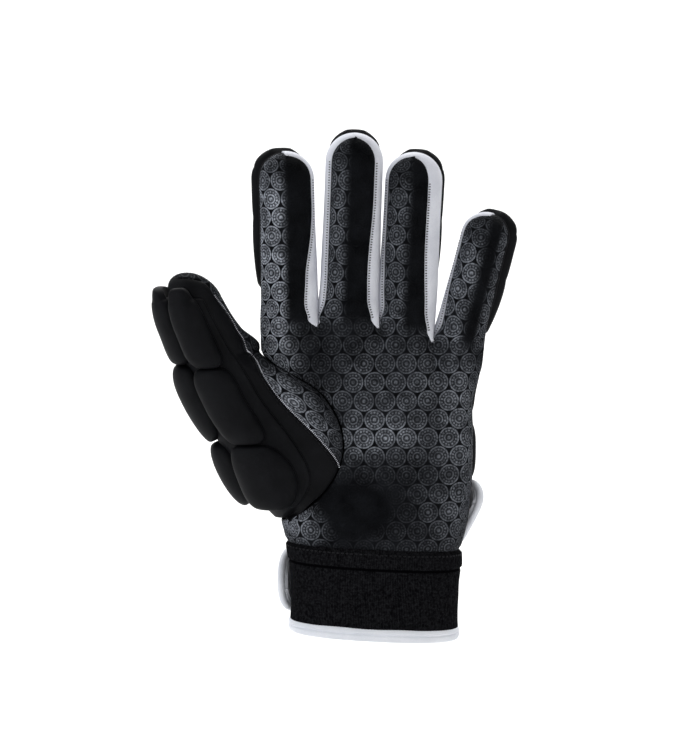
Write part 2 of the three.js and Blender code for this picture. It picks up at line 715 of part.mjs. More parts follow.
// The back of the hand: two rows of blocks, one for each finger.
const HAND_PAD_EDGE = 50; // degrees to a block's edge
const HAND_PADS = [
  { name: "knuckle_pad", from: 0.66, to: 0.97 },
  { name: "hand_pad", from: 0.33, to: 0.64 },
];
for (const row of HAND_PADS) {
  FINGERS.forEach((finger, index) => {
    const place = (a, b) => {
      const rise = lerp(row.from, row.to, (1 + b) / 2);
      return handFace(index, HAND_PAD_EDGE * -a, rise, 1, BACK_EDGE);
    };
    const made = pad({ place, columns: 5, rows: 5, height: 8, edge: 1.2 });
    add(row.name + "_" + finger.name, made, "black");
  });
}

add("cuff_band", cuffBand(), "knit");
add("cuff_binding", cuffBinding(), "white");
add("wrist_strap", wristStrap(), "black");
add("strap_piping", strapPiping(), "white");

export default glove;
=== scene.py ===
"""A left field hockey glove, palm to the camera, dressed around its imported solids.

Shapes are worked out in millimetres in the part's own frame: +Z along the fingers, +X towards
the little finger, the palm facing -Y. They go into the meshes in metres.
"""
import math

import bpy
import bmesh
import numpy as np
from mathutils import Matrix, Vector


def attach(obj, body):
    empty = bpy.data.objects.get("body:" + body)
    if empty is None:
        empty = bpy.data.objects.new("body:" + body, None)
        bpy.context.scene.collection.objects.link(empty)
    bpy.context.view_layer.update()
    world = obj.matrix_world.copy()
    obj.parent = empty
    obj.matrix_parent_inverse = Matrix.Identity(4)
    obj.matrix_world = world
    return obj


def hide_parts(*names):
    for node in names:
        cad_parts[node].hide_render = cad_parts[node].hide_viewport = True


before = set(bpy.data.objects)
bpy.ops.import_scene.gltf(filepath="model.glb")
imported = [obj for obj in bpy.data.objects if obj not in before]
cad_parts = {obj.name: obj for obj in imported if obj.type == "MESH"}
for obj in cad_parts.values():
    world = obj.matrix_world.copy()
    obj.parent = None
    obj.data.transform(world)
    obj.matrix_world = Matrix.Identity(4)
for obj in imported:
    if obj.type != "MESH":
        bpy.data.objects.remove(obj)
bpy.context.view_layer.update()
MM = 0.001

# Driving dimensions, the same as the solids have
FABRIC = 1.2
SEAM_HEIGHT = 43.5
CUFF_TILT = -0.052
HAND_ROUNDNESS = 2.4
FINGER_BASE_DEPTH = 12.5
FINGER_BASE_Y = -0.5
FABRIC_EDGE = 54
BACK_EDGE = 58
OUTER_EDGE = 88.5
FRONT_TOP = 0.86
BACK_TOP = 0.93
WEB_SHARE = 0.16
STRIP_BOW = 0.7
STRIP_END = 1.8
STRIP_WALL = 1.0
STRIP_WIDTH = 16
STRIP_HALF = 80
STRIP_FLAP = 0.07
PAST_THE_TIP = 2.05
THUMB_MIDDLE = 97
THUMB_REACH = 41
FRONT_BITE = 35
BACK_BITE = 13
THUMB_TIP = 12.5
WEB_RISE = 12
THUMB_SPREAD = 50
THUMB_BACK_EDGE = 140
PAD_END = -150
FLANGE = 14
FOAM = 2.5
THUMB_PAD_HEIGHT = 9.5
FINGER_PAD_HEIGHT = 8
THUMB_SWELL = 1.5
FINGER_SWELL = 1
ON_FABRIC = 0.1
ON_FOAM = FOAM + ON_FABRIC
OUTER_PAD = 64
PAD_STARTS = (0.2, 0.2, 0.2, 0.07)
HAND_PAD_EDGE = 50
CUFF_WALL = 2.2
HEM_HEIGHT = 34.6
BINDING_HEIGHT = 6.4
BINDING_THICKNESS = 4
STRAP_WIDTH = 30
STRAP_THICKNESS = 2.4
PIPING = 1.9
WRIST_FLARE = 0.17


def table(columns, *rows):
    """Named columns from rows of numbers."""
    return dict(zip(columns.split(), np.array(rows, float).T))


HAND = table(
    "z left right front back",
    (40, -42.2, 41.8, -24, 21),
    (50, -43.6, 44.6, -24, 21),
    (62, -46, 46.8, -23.5, 20),
    (80, -48, 47.8, -22, 18),
    (100, -50, 48, -19.5, 16.5),
    (120, -52.5, 47.6, -16.5, 15),
    (138, -54.6, 50.5, -14, 13.5),
    (155, -55.2, 54, -13, 12),
)
CROTCHES = table("x z", (-55, 148.5), (-27.1, 151.8), (2.3, 150.8), (28.4, 144.2), (52.6, 138))
NAMES = ("index", "middle", "ring", "little")
FINGERS = table(
    "x y z width depth twist",
    (-42.6, -5, 220.5, 13.6, 11.6, 12),
    (-9.6, -6, 229.2, 13.6, 11.6, 0),
    (18.9, -5, 220, 13.6, 11.4, -12),
    (53.6, -3, 193.2, 11.8, 10.8, -16),
)
THUMB = table(
    "slice z x y across depth edge pad split",
    (0, 57.5, -44.5, -1, 4, 8, 60, 22, -62),
    (1, 66, -42, -2.5, 14, 19, 60, 14, -62),
    (2, 80, -38, -4, 27, 22, 52, 3, -60),
    (3, 97, -42, -6.5, 31, 21.5, 31, -8, -58),
    (4, 115, -54, -9.5, 28, 20, 22, -11, -55),
    (5, 126, -62.5, -11.5, 24, 18.5, 27, -6, -53),
    (6, 134, -68, -13.5, 19.5, 17.5, 37, -2, -51),
    (7, 140, -72.5, -15, 17, 16.3, 43, 0, -50),
    (8, 148, -77, -17.5, 15, 15, 56, 3, -49),
    (9, 156, -81.3, -20, 13.6, 14, 66, 6, -48),
    (10, 165, -85, -22.5, 12.3, 13, 54, 7, -48),
)
THUMB_ROWS = 10
THUMB_LEAN = np.array([-0.33, -0.22, 0.92])
CUFF_LEVELS = table(
    "z left right depth middle",
    (0, -41, 41, 24.5, -1),
    (12, -40.3, 40.8, 24, -1),
    (26, -40.4, 41.6, 23.4, -1.2),
    (36, -41.4, 42.3, 23.2, -1.4),
    (44, -42.4, 42.2, 23, -1.5),
)
STRAP_LINE = table(
    "at degrees z off crown lean slant",
    (0, 87, 61.5, 2.5, 2.5, 2, 12),
    (0.12, 110, 58.5, 2.8, 2.5, 2, 12),
    (0.35, 142, 47, 4.2, 1.5, 0.5, 0),
    (0.62, 195, 36, 4.2, 0.8, 0, 0),
    (0.84, 238, 24, 3.8, 1.8, 0, 0),
    (1, 271, 22.2, 3.6, 2.7, 0, 0),
)


def lerp(a, b, t):
    return a + (b - a) * t


def smooth(t):
    t = np.clip(t, 0, 1)
    return t * t * (3 - 2 * t)


def unit(v):
    return v / np.maximum(np.linalg.norm(v, axis=-1, keepdims=True), 1e-12)


def vec(x, y, z):
    return np.stack(np.broadcast_arrays(x, y, z), -1).astype(float)


def column(rows, place, key, at):
    """A table's column as a smooth curve over its place column: Catmull-Rom through the rows."""
    spots, values = rows[place], rows[key]
    at = np.asarray(at, float)
    row = np.searchsorted(spots[1:-1], at, side="left")
    last = len(spots) - 1
    a, b, c, d = (values[np.clip(row + k, 0, last)] for k in (-1, 0, 1, 2))
    t = np.clip((at - spots[row]) / (spots[row + 1] - spots[row]), 0, 1)
    return 0.5 * (2 * b + (c - a) * t + (2 * a - 5 * b + 4 * c - d) * t**2 + (3 * b - a - 3 * c + d) * t**3)


def ripple(x, y, size, seed):
    """Smooth value noise from -1 to 1: random heights on a square lattice, joined by smooth steps."""
    heights = np.random.default_rng(seed).uniform(-1, 1, (97, 97))
    gx, gy = np.asarray(x) / size, np.asarray(y) / size
    i, j = np.floor(gx).astype(int), np.floor(gy).astype(int)
    fx, fy = smooth(gx - i), smooth(gy - j)
    at = lambda a, b: heights[(i + a) % 97, (j + b) % 97]
    return lerp(lerp(at(0, 0), at(1, 0), fx), lerp(at(0, 1), at(1, 1), fx), fy)


# Meshes

def quads_of(rows, columns, around=False):
    """Faces of a grid of points stored row by row. Around joins the last column to the first."""
    r, c = np.meshgrid(np.arange(rows - 1), np.arange(columns if around else columns - 1), indexing="ij")
    right = (c + 1) % columns
    faces = [r * columns + c, r * columns + right, (r + 1) * columns + right, (r + 1) * columns + c]
    return np.stack(faces, -1).reshape(-1, 4)


def patch(make, across, along):
    """A grid of points make(u, v) with its cloth coordinates and distance from the nearest seam."""
    u, v = np.meshgrid(across, along)
    points, cloth, seam = make(u, v)
    return {
        "points": points.reshape(-1, 3),
        "cloth": cloth.reshape(-1, 2),
        "seam": np.broadcast_to(seam, u.shape).reshape(-1),
        "quads": quads_of(len(along), len(across)),
    }


def joined(patches):
    """Several patches as one, with their faces renumbered."""
    starts = np.cumsum([0] + [len(p["points"]) for p in patches[:-1]])
    merged = {key: np.concatenate([p[key] for p in patches]) for key in ("points", "cloth", "seam")}
    merged["quads"] = np.concatenate([p["quads"] + s for p, s in zip(patches, starts)])
    return merged


def slab(top, bottom):
    """Two grids of points closed round their rims into one solid. Returns its points and faces."""
    rows, columns = top.shape[:2]
    count = rows * columns
    faces = quads_of(rows, columns)
    rim = np.concatenate([
        np.arange(columns),
        np.arange(1, rows) * columns + columns - 1,
        (rows - 1) * columns + np.arange(columns - 2, -1, -1),
        np.arange(rows - 2, 0, -1) * columns,
    ])
    after = np.roll(rim, -1)
    wall = np.stack([after, rim, rim + count, after + count], -1)
    quads = np.concatenate([faces, faces[:, ::-1] + count, wall])
    return np.concatenate([top.reshape(-1, 3), bottom.reshape(-1, 3)]), quads


def mesh_from(name, points, quads, cloth=None, values=None):
    """A mesh from arrays: points in millimetres, faces of four corners, a UV map and point values."""
    mesh = bpy.data.meshes.new(name)
    mesh.vertices.add(len(points))
    mesh.vertices.foreach_set("co", (np.asarray(points) * MM).astype(np.float32).ravel())
    mesh.loops.add(quads.size)
    mesh.loops.foreach_set("vertex_index", quads.astype(np.int32).ravel())
    mesh.polygons.add(len(quads))
    mesh.polygons.foreach_set("loop_start", np.arange(0, quads.size, 4, dtype=np.int32))
    mesh.polygons.foreach_set("loop_total", np.full(len(quads), 4, np.int32))
    mesh.update(calc_edges=True)
    mesh.polygons.foreach_set("use_smooth", np.ones(len(quads), bool))
    if cloth is not None:
        layer = mesh.uv_layers.new(name="cloth")
        layer.data.foreach_set("uv", (cloth[quads.ravel()] * MM).astype(np.float32).ravel())
    for key, array in (values or {}).items():
        attribute = mesh.attributes.new(key, "FLOAT", "POINT")
        attribute.data.foreach_set("value", np.asarray(array, np.float32))
    return mesh


def weld(mesh, distance=0.02):
    """Merges points that coincide, which closes the seams and poles of joined patches."""
    work = bmesh.new()
    work.from_mesh(mesh)
    bmesh.ops.remove_doubles(work, verts=work.verts, dist=distance * MM)
    bmesh.ops.dissolve_degenerate(work, edges=work.edges, dist=distance * MM * 0.1)
    work.to_mesh(mesh)
    work.free()
    mesh.polygons.foreach_set("use_smooth", np.ones(len(mesh.polygons), bool))


def array_of(source, field, width=1):
    """A field of all of a mesh's points, as an array."""
    data = np.zeros(len(source) * width, np.float32)
    source.foreach_get(field, data)
    return data.reshape(-1, width) if width > 1 else data


def push(mesh, amount):
    """Moves every point along its normal by amount, in millimetres."""
    mesh.update()
    places = array_of(mesh.vertices, "co", 3)
    normals = array_of(mesh.vertex_normals, "vector", 3)
    places += normals * (np.asarray(amount) * MM)[:, None]
    mesh.vertices.foreach_set("co", places.astype(np.float32).ravel())
    mesh.update()


def place_piece(mesh, name, material, slot, *nodes):
    """A mesh as a piece of the glove, standing for the solids named."""
    piece = bpy.data.objects.new(name, mesh)
    bpy.context.scene.collection.objects.link(piece)
    mesh.materials.append(material)
    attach(piece, "root")
    if nodes:
        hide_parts(*nodes)
    return piece


def thicken(piece, wall=FABRIC):
    """Gives a sheet its wall, inwards from its outer face."""
    solidify = piece.modifiers.new("wall", "SOLIDIFY")
    solidify.thickness = wall * MM
    solidify.offset = -1
    solidify.use_even_offset = False
    return piece


def subdivide(piece, levels=1):
    fine = piece.modifiers.new("fine", "SUBSURF")
    fine.levels = fine.render_levels = levels
    return piece


# Hand and fingers

def finger_frame(index):
    f = {key: values[index] for key, values in FINGERS.items()}
    x0, x1 = CROTCHES["x"][index : index + 2]
    z0, z1 = CROTCHES["z"][index : index + 2]
    base = np.array([(x0 + x1) / 2, FINGER_BASE_Y, (z0 + z1) / 2])
    tip = np.array([f["x"], f["y"], f["z"]])
    axis = (tip - base) / np.linalg.norm(tip - base)
    across = np.array([(x1 - x0) / 2, 0, (z1 - z0) / 2])
    return f, base, tip, axis, across


def finger_point(index, share, direction, edge):
    """A capsule from base to tip: the middle line, plus half the width along x, the depth along
    y and the round tip along z. The sides close up to the flat web towards the base."""
    f, base, tip, axis, across = finger_frame(index)
    up = np.array([0, 1.0, 0])
    twist = np.radians(f["twist"]) * smooth(share * 1.6)
    cosine, sine = np.cos(twist)[..., None], np.sin(twist)[..., None]
    back = unit(up - axis * axis[1])
    side = np.cross(back, axis)
    straight = smooth(share / 0.3)[..., None]
    half = lerp(across, (side * cosine + back * sine) * f["width"], straight)
    upright = unit(lerp(up, back * cosine - side * sine, straight))
    depth = lerp(FINGER_BASE_DEPTH, f["depth"], smooth(share))
    web = 1 - smooth(share / WEB_SHARE)
    closed = np.clip(direction[..., 0] / edge, -1, 1)
    x = lerp(direction[..., 0], closed, web)
    point = lerp(base, tip, np.asarray(share)[..., None]) + half * x[..., None]
    point = point + upright * (depth * direction[..., 1])[..., None]
    return point + axis * (f["width"] * direction[..., 2])[..., None]


def edges_of(index, inner):
    return (OUTER_EDGE if index == 0 else inner), (OUTER_EDGE if index == 3 else inner)


# Degrees by which each finger's fabric is drawn away from a strip, low down and at the tip
DRAWN_LEFT = ((0, 0), (-7, -6), (-9, -9), (-10, -12))
DRAWN_RIGHT = ((16, -10), (12, 2), (10, 10), (0, 0))


def front_edge(index, side, share):
    """Degrees from the front to the strip on a finger's left (-1) or right (1)."""
    low, high = (DRAWN_LEFT if side < 0 else DRAWN_RIGHT)[index]
    return FABRIC_EDGE - lerp(low, high, smooth((share - 0.35) / 0.45)) * smooth(share / 0.03)


def top_at(index, angle, top):
    """How high a face reaches on the round tip: to the strip's end, or where no strip lies
    between the two faces, up to the crown."""
    outwards = {0: -angle, 3: angle}.get(index, 0 * angle)
    return lerp(top, 0.9985, smooth(outwards / OUTER_EDGE))


def tip_direction(angle, phi, top, facing):
    """The direction at an angle from the front on the row phi of the round tip."""
    x = np.sin(np.radians(angle)) * np.cos(phi)
    z = top * np.sin(phi)
    return vec(x, facing * np.sqrt(np.maximum(0, 1 - x * x - z * z)), z)


def hand_point(x, z, facing):
    """The hand's side at a height, from x: a superellipse between its left and right edges."""
    left, right, front, back = (column(HAND, "z", key, z) for key in ("left", "right", "front", "back"))
    across = np.clip((2 * x - left - right) / (right - left), -1, 1)
    bulge = (1 - np.abs(across) ** HAND_ROUNDNESS) ** (1 / HAND_ROUNDNESS)
    return vec(x, (front + back) / 2 + facing * (back - front) / 2 * bulge, z)


def hand_face(index, angle, rise, facing, inner):
    """The hand from the cuff's seam, rise 0, to a finger's base, rise 1, with the thumb's bite."""
    angle, rise = np.broadcast_arrays(np.asarray(angle, float), np.asarray(rise, float))
    direction = tip_direction(angle, 0 * angle, 1, facing)
    top = finger_point(index, 0 * angle, direction, math.sin(math.radians(inner)))
    first, last = CROTCHES["x"][0], CROTCHES["x"][-1]
    share = (top[..., 0] - first) / (last - first)
    seam_x = lerp(column(HAND, "z", "left", SEAM_HEIGHT), column(HAND, "z", "right", SEAM_HEIGHT), share)
    z = lerp(SEAM_HEIGHT + CUFF_TILT * seam_x, top[..., 2], rise)
    lift = np.clip((z - THUMB_MIDDLE) / THUMB_REACH, -1, 1)
    cut = (FRONT_BITE if facing < 0 else BACK_BITE) * (1 - lift * lift) ** 0.8
    x = lerp(column(HAND, "z", "left", z) + cut, column(HAND, "z", "right", z), share)
    point = hand_point(x, z, facing)
    near = smooth((rise - 0.7) / 0.3)[..., None]
    blended = lerp(point, top, near)
    blended[..., 2] = z
    return blended


def round_the_edge(index, angle, points, middle):
    """Length of cloth that the outer side takes where it turns back from the palm's plane: the
    depth below the middle of its row."""
    side = {0: -1, 3: 1}.get(index, 0)
    return side * np.maximum(0, points[..., 1] - middle[..., 1]) * smooth((side * angle - 15) / 30)


STRAIGHT = np.linspace(0, 1, 71)
DOME = 1 + np.sin(np.linspace(0, np.pi / 2, 15))[1:]


def finger_patch(index, facing, inner, top):
    """The front or back of one finger: along it to share 1, then over its round tip."""
    left, right = edges_of(index, inner)
    f, base, tip, axis, across = finger_frame(index)
    length = (tip - base) @ axis

    def make(u, v):
        side = u if facing < 0 else 1 - u
        share = np.minimum(v, 1)
        phi = np.maximum(0, v - 1) * np.pi / 2
        first = left + 0 * v if facing > 0 or index == 0 else front_edge(index, -1, share)
        last = right + 0 * v if facing > 0 or index == 3 else front_edge(index, 1, share)
        angle = lerp(-first, last, side)
        direction = tip_direction(angle, phi, top_at(index, angle, top), facing)
        edge = math.sin(math.radians(inner))
        points = finger_point(index, share, direction, edge)
        straight = smooth(share / 0.3)
        closed = np.clip(direction[..., 0] / edge, -1, 1)
        arc = f["width"] * np.radians(angle) * np.cos(phi)
        middle = finger_point(index, share, tip_direction(0 * angle, phi, top, facing), edge)
        beyond = round_the_edge(index, angle, points, middle)
        x = base[0] + lerp(across[0] * closed + beyond, arc, straight)
        y = base[2] + across[2] * closed * (1 - straight) + share * length + f["width"] * phi
        seam = f["width"] * np.radians(np.minimum(angle + first, last - angle))
        seam = np.where(phi > 0, np.minimum(seam, seam * np.cos(phi) + 0.3), seam)
        return points, np.stack([x, y], -1), seam

    return patch(make, np.linspace(0, 1, 33), np.concatenate([STRAIGHT, DOME]))


def hand_patch(index, facing, inner):
    """The hand below one finger, from the cuff's seam to the finger's base."""
    left, right = edges_of(index, inner)

    def make(u, v):
        side = u if facing < 0 else 1 - u
        angle = lerp(-left, right, side)
        points = hand_face(index, angle, v, facing, inner)
        middle = hand_face(index, 0 * angle, v, facing, inner)
        cloth = points[..., [0, 2]]
        cloth[..., 0] += round_the_edge(index, angle, points, middle)
        outer = np.full(u.shape, 99.0)
        width = 27.0
        if index == 0:
            outer = side * width
        if index == 3:
            outer = (1 - side) * width
        return points, cloth, np.minimum(outer, v * 100)

    return patch(make, np.linspace(0, 1, 33), np.linspace(0, 1, 91))


def tucked(seam, depth=1.0, reach=1.5):
    """Fabric pulled in along its seams: a bell curve of the distance from the seam."""
    return -depth * np.exp(-((seam / reach) ** 2))


def hand_side(name, facing, inner, top):
    """One side of the whole hand: four fingers and the hand below them, pulled in at the seams
    and softly creased."""
    patches = [finger_patch(i, facing, inner, top) for i in range(4)]
    patches += [hand_patch(i, facing, inner) for i in range(4)]
    sheet = joined(patches)
    mesh = mesh_from(name, sheet["points"], sheet["quads"], sheet["cloth"], {"seam": sheet["seam"]})
    weld(mesh)
    seam = array_of(mesh.attributes["seam"].data, "value")
    places = array_of(mesh.vertices, "co", 3) / MM
    x, z = places[:, 0], places[:, 2]
    soft = 0.35 * ripple(x, z, 11, 3) + 0.16 * ripple(x + 0.4 * z, z, 4.2, 7)
    push(mesh, tucked(seam) + soft * smooth(seam / 4))
    return mesh


def fourchette(index, name):
    """The white strip between two fingers: from one tip down its side, through the crotch and
    up the next, bowed out between its two seams, with a flap under the fabric beside each."""

    def make(u, v):
        step = np.abs(v)
        rising = v > 0
        share = lerp(0.006, 1, np.minimum(step, 1))
        phi = np.maximum(0, step - 1) * np.pi / 2
        u = lerp(np.clip(u, 0, 1), u, smooth(share / 0.1))
        points = np.zeros(u.shape + (3,))
        for finger, side, chosen in ((index, 1, ~rising), (index + 1, -1, rising)):
            front = tip_direction(side * front_edge(finger, side, share), phi, FRONT_TOP, -1)
            back = tip_direction(side * BACK_EDGE + 0 * share, phi, BACK_TOP, 1)
            turn = lerp(np.arctan2(front[..., 0], front[..., 2]), np.arctan2(back[..., 0], back[..., 2]), u)
            rise = lerp(np.arcsin(front[..., 1]), np.arcsin(back[..., 1]), u)
            direction = vec(np.cos(rise) * np.sin(turn), np.sin(rise), np.cos(rise) * np.cos(turn))
            here = finger_point(finger, share, direction, math.sin(math.radians(FABRIC_EDGE)))
            bow = 4 * np.maximum(0, u * (1 - u)) * smooth(share / 0.08)
            bow *= 1 - 0.7 * smooth((share - 0.3) / 0.5)
            here[..., 0] += side * STRIP_BOW * bow * np.cos(phi)
            end = np.exp(-((share / 0.035) ** 2))
            here[..., 2] -= STRIP_END * end
            here[..., 1] -= STRIP_END * end * (1 - u) ** 2
            points[chosen] = here[chosen]
        seam = np.minimum(u, 1 - u) * STRIP_WIDTH
        return points, np.stack([u * STRIP_WIDTH, v * STRIP_HALF], -1), seam

    half = np.concatenate([STRAIGHT, DOME, [PAST_THE_TIP]])
    along = np.concatenate([-half[::-1], half[1:]])
    sheet = patch(make, np.linspace(-STRIP_FLAP, 1 + STRIP_FLAP, 20), along)
    quads = sheet["quads"][:, ::-1]
    mesh = mesh_from(name, sheet["points"], quads, sheet["cloth"], {"seam": sheet["seam"]})
    weld(mesh)
    seam = array_of(mesh.attributes["seam"].data, "value")
    push(mesh, tucked(seam, 0.55, 1.1) - 0.9 * smooth(-seam / 0.7))
    return mesh


# Thumb

def thumb_value(key, at):
    return column(THUMB, "slice", key, np.minimum(at, THUMB_ROWS))


def opening_edge(z, facing):
    """The hand's edge round the thumb's opening, in front or behind, at a height."""
    inner = FABRIC_EDGE if facing < 0 else BACK_EDGE
    low = hand_face(0, -OUTER_EDGE, 0, facing, inner)[..., 2]
    high = hand_face(0, -OUTER_EDGE, 1, facing, inner)[..., 2]
    held = np.minimum(z, THUMB_MIDDLE + THUMB_REACH)
    point = hand_face(0, np.full(np.shape(z), -OUTER_EDGE), (held - low) / (high - low), facing, inner)
    point[..., 2] = z
    point[..., 0] -= 0.25
    return point


def thumb_oval(at, degrees):
    angle = np.radians(degrees)
    x = thumb_value("x", at) + thumb_value("across", at) * np.sin(angle)
    y = thumb_value("y", at) - thumb_value("depth", at) * np.cos(angle)
    return vec(x, y, thumb_value("z", at))


def hand_angle(at, facing):
    """The angle of a slice at which it reaches the hand's edge, in front or behind."""
    edge = opening_edge(thumb_value("z", at), facing)
    sine = (edge[..., 0] - thumb_value("x", at)) / thumb_value("across", at)
    angle = np.degrees(np.arcsin(np.clip(sine, -0.985, 0.985)))
    return angle if facing < 0 else -180 - angle


def thumb_point(at, degrees):
    """An oval slice at a height and an angle, drawn out near the opening to the hand's edge,
    and one more slice that closes over the round tip."""
    at, degrees = np.broadcast_arrays(np.asarray(at, float), np.asarray(degrees, float))
    slices = np.minimum(at, THUMB_ROWS)
    point = thumb_oval(slices, degrees)
    fade = 1 - smooth((point[..., 2] - THUMB_MIDDLE - THUMB_REACH) / WEB_RISE)
    front, back = hand_angle(slices, -1), hand_angle(slices, 1)
    turn = (degrees + 450) % 360 - 180
    first, last = front - 90, back + 270
    away = np.maximum(first - turn, turn - last)
    pull = opening_edge(point[..., 2], -1) - thumb_oval(slices, front)
    back_pull = opening_edge(point[..., 2], 1) - thumb_oval(slices, back)
    pull = lerp(pull, back_pull, np.clip((turn - first) / (last - first), 0, 1)[..., None])
    point = point + pull * (fade * (1 - smooth(away / THUMB_SPREAD)))[..., None]
    phi = np.clip(at - THUMB_ROWS, 0, 1) * np.pi / 2
    middle = vec(thumb_value("x", slices), thumb_value("y", slices), point[..., 2])
    return lerp(middle, point, np.cos(phi)[..., None]) + THUMB_LEAN * (THUMB_TIP * np.sin(phi))[..., None]


def printed_edge(at):
    """The front seam of the printed panel: over the tip it turns across to the far side."""
    turned = smooth((at - THUMB_ROWS - 0.42) / 0.3)
    edge = np.minimum(thumb_value("edge", at), hand_angle(np.minimum(at, THUMB_ROWS), -1))
    return lerp(edge, -95, turned)


def far_edge(at, facing):
    closed = smooth((thumb_value("z", at) - THUMB_MIDDLE - THUMB_REACH) / WEB_RISE)
    reach = hand_angle(np.minimum(at, THUMB_ROWS), facing)
    return lerp(reach, THUMB_BACK_EDGE if facing < 0 else THUMB_BACK_EDGE - 360, closed)


def thumb_sheet(name, start, begin, end):
    """A panel of the thumb between two angles at each slice, over the tip."""
    straight = np.linspace(start, THUMB_ROWS, 90)
    tip = THUMB_ROWS + np.linspace(0, 1, 19)[1:]
    along = np.concatenate([straight, tip])

    def make(u, v):
        first, last = begin(v), end(v)
        degrees = lerp(first, last, u)
        points = thumb_point(v, degrees)
        around = thumb_value("across", v) * np.cos(np.clip(v - THUMB_ROWS, 0, 1) * np.pi / 2)
        x = np.radians(degrees) * around * 0.9
        y = points[..., 2]
        seam = np.radians(np.minimum(degrees - first, last - degrees)) * around
        return points, np.stack([x - 30, y], -1), seam

    sheet = patch(make, np.linspace(0, 1, 61), along)
    mesh = mesh_from(name, sheet["points"], sheet["quads"], sheet["cloth"], {"seam": sheet["seam"]})
    weld(mesh)
    seam = array_of(mesh.attributes["seam"].data, "value")
    push(mesh, tucked(seam, 0.6, 1.2))
    return mesh


# Padding

def pad_form(place, columns, rows, height, edge, lift, lobes=1, corner=0.2, flat=3.2, thin=0):
    """A closed pad on a surface: rounded corners, and a crown that is the product of two
    flattened ellipses, thinned towards its far end. Returns the points, the faces and which of
    the points stay on the surface."""
    a, b = np.meshgrid(np.sin(np.linspace(-1, 1, columns) * np.pi / 2), np.linspace(-1, 1, rows))
    phase = (b + 1) / 2 * lobes
    whole = np.minimum(np.floor(phase), lobes - 1)
    within = 2 * (phase - whole) - 1
    if lobes == 1:
        b = np.sin(b * np.pi / 2)
        within = b
    soft_a = a * np.sqrt(1 - corner * b**4)
    soft_b = b * np.sqrt(1 - corner * a**4)
    base = place(soft_a, soft_b)
    nudge = 0.01
    columns_way = place(soft_a + nudge, soft_b) - place(soft_a - nudge, soft_b)
    rows_way = place(soft_a, soft_b + nudge) - place(soft_a, soft_b - nudge)
    normal = unit(np.cross(columns_way, rows_way))
    crease = lerp(0.4, 0.85, smooth((np.abs(a) - 0.45) / 0.4)) if lobes > 1 else 0.4
    dip = np.where(np.abs(b) < 0.999, crease, 0.0)
    across = np.maximum(0, 1 - np.abs(a) ** flat) ** 0.5
    along = lerp(dip, 1, np.maximum(0, 1 - np.abs(within) ** flat) ** 0.5)
    raised = lift + (edge + (height - edge) * across * along) * (1 - thin * smooth((b - 0.45) / 0.5))
    points, quads = slab(base + normal * raised[..., None], base + normal * lift)
    return points, quads, np.arange(len(points)) >= rows * columns


SIM_FRAMES = 20
SWELL = 2.2  # the most that a point of a pad moves in the simulation


def puffed(forms):
    """Closed pads blown up as cloth with pressure, their undersides held. Returns their points."""
    starts = np.cumsum([0] + [len(points) for points, quads, held in forms])
    points = np.concatenate([form[0] for form in forms])
    quads = np.concatenate([form[1] + start for form, start in zip(forms, starts)])
    held = np.concatenate([form[2] for form in forms])
    mesh = mesh_from("pad_sim", points, quads)
    body = bpy.data.objects.new("pad_sim", mesh)
    bpy.context.scene.collection.objects.link(body)
    group = body.vertex_groups.new(name="held")
    group.add(np.flatnonzero(held).tolist(), 1.0, "REPLACE")
    cloth = body.modifiers.new("puff", "CLOTH")
    cloth.settings.quality = 5
    cloth.settings.mass = 0.15
    cloth.settings.tension_stiffness = cloth.settings.compression_stiffness = 18
    cloth.settings.shear_stiffness = 8
    cloth.settings.bending_stiffness = 0.8
    cloth.settings.use_pressure = True
    cloth.settings.uniform_pressure_force = 4
    cloth.settings.vertex_group_mass = "held"
    cloth.settings.effector_weights.gravity = 0
    cloth.collision_settings.use_collision = False
    scene = bpy.context.scene
    scene.frame_start, scene.frame_end = 1, SIM_FRAMES
    cloth.point_cache.frame_start, cloth.point_cache.frame_end = 1, SIM_FRAMES
    for number in range(1, SIM_FRAMES + 1):
        scene.frame_set(number)
    blown = body.evaluated_get(bpy.context.evaluated_depsgraph_get())
    moved = array_of(blown.data.vertices, "co", 3) / MM - points
    scene.frame_set(1)
    bpy.data.objects.remove(body)
    far = np.linalg.norm(moved, axis=1, keepdims=True)
    moved *= np.minimum(1, SWELL / np.maximum(far, 1e-9))
    return [form[0] + moved[a:b] for form, a, b in zip(forms, starts, starts[1:])]


def thumb_pads():
    """Three rows of two pads up the thumb, from the hand to its tip."""
    rows = ((1.05, 2.94), (2.98, 5.84), (5.88, 10.24))
    forms = {}
    for number, (low, high) in enumerate(rows, 1):
        spans = {
            "front": (lambda at: thumb_value("split", at) + 0.8, lambda at: thumb_value("pad", at)),
            "rear": (lambda at: PAD_END + 1 + 0 * at, lambda at: thumb_value("split", at) - 0.8),
        }
        for side, (begin, end) in spans.items():

            def place(a, b, low=low, high=high, begin=begin, end=end):
                at = lerp(low, high, (1 + b) / 2)
                return thumb_point(at, lerp(begin(at), end(at), (1 + a) / 2))

            height = THUMB_PAD_HEIGHT - THUMB_SWELL
            form = pad_form(place, 29, 29, height, 0.6, ON_FOAM, corner=0.32, flat=2.8)
            forms[f"thumb_pad_{side}_{number}"] = form
    return forms


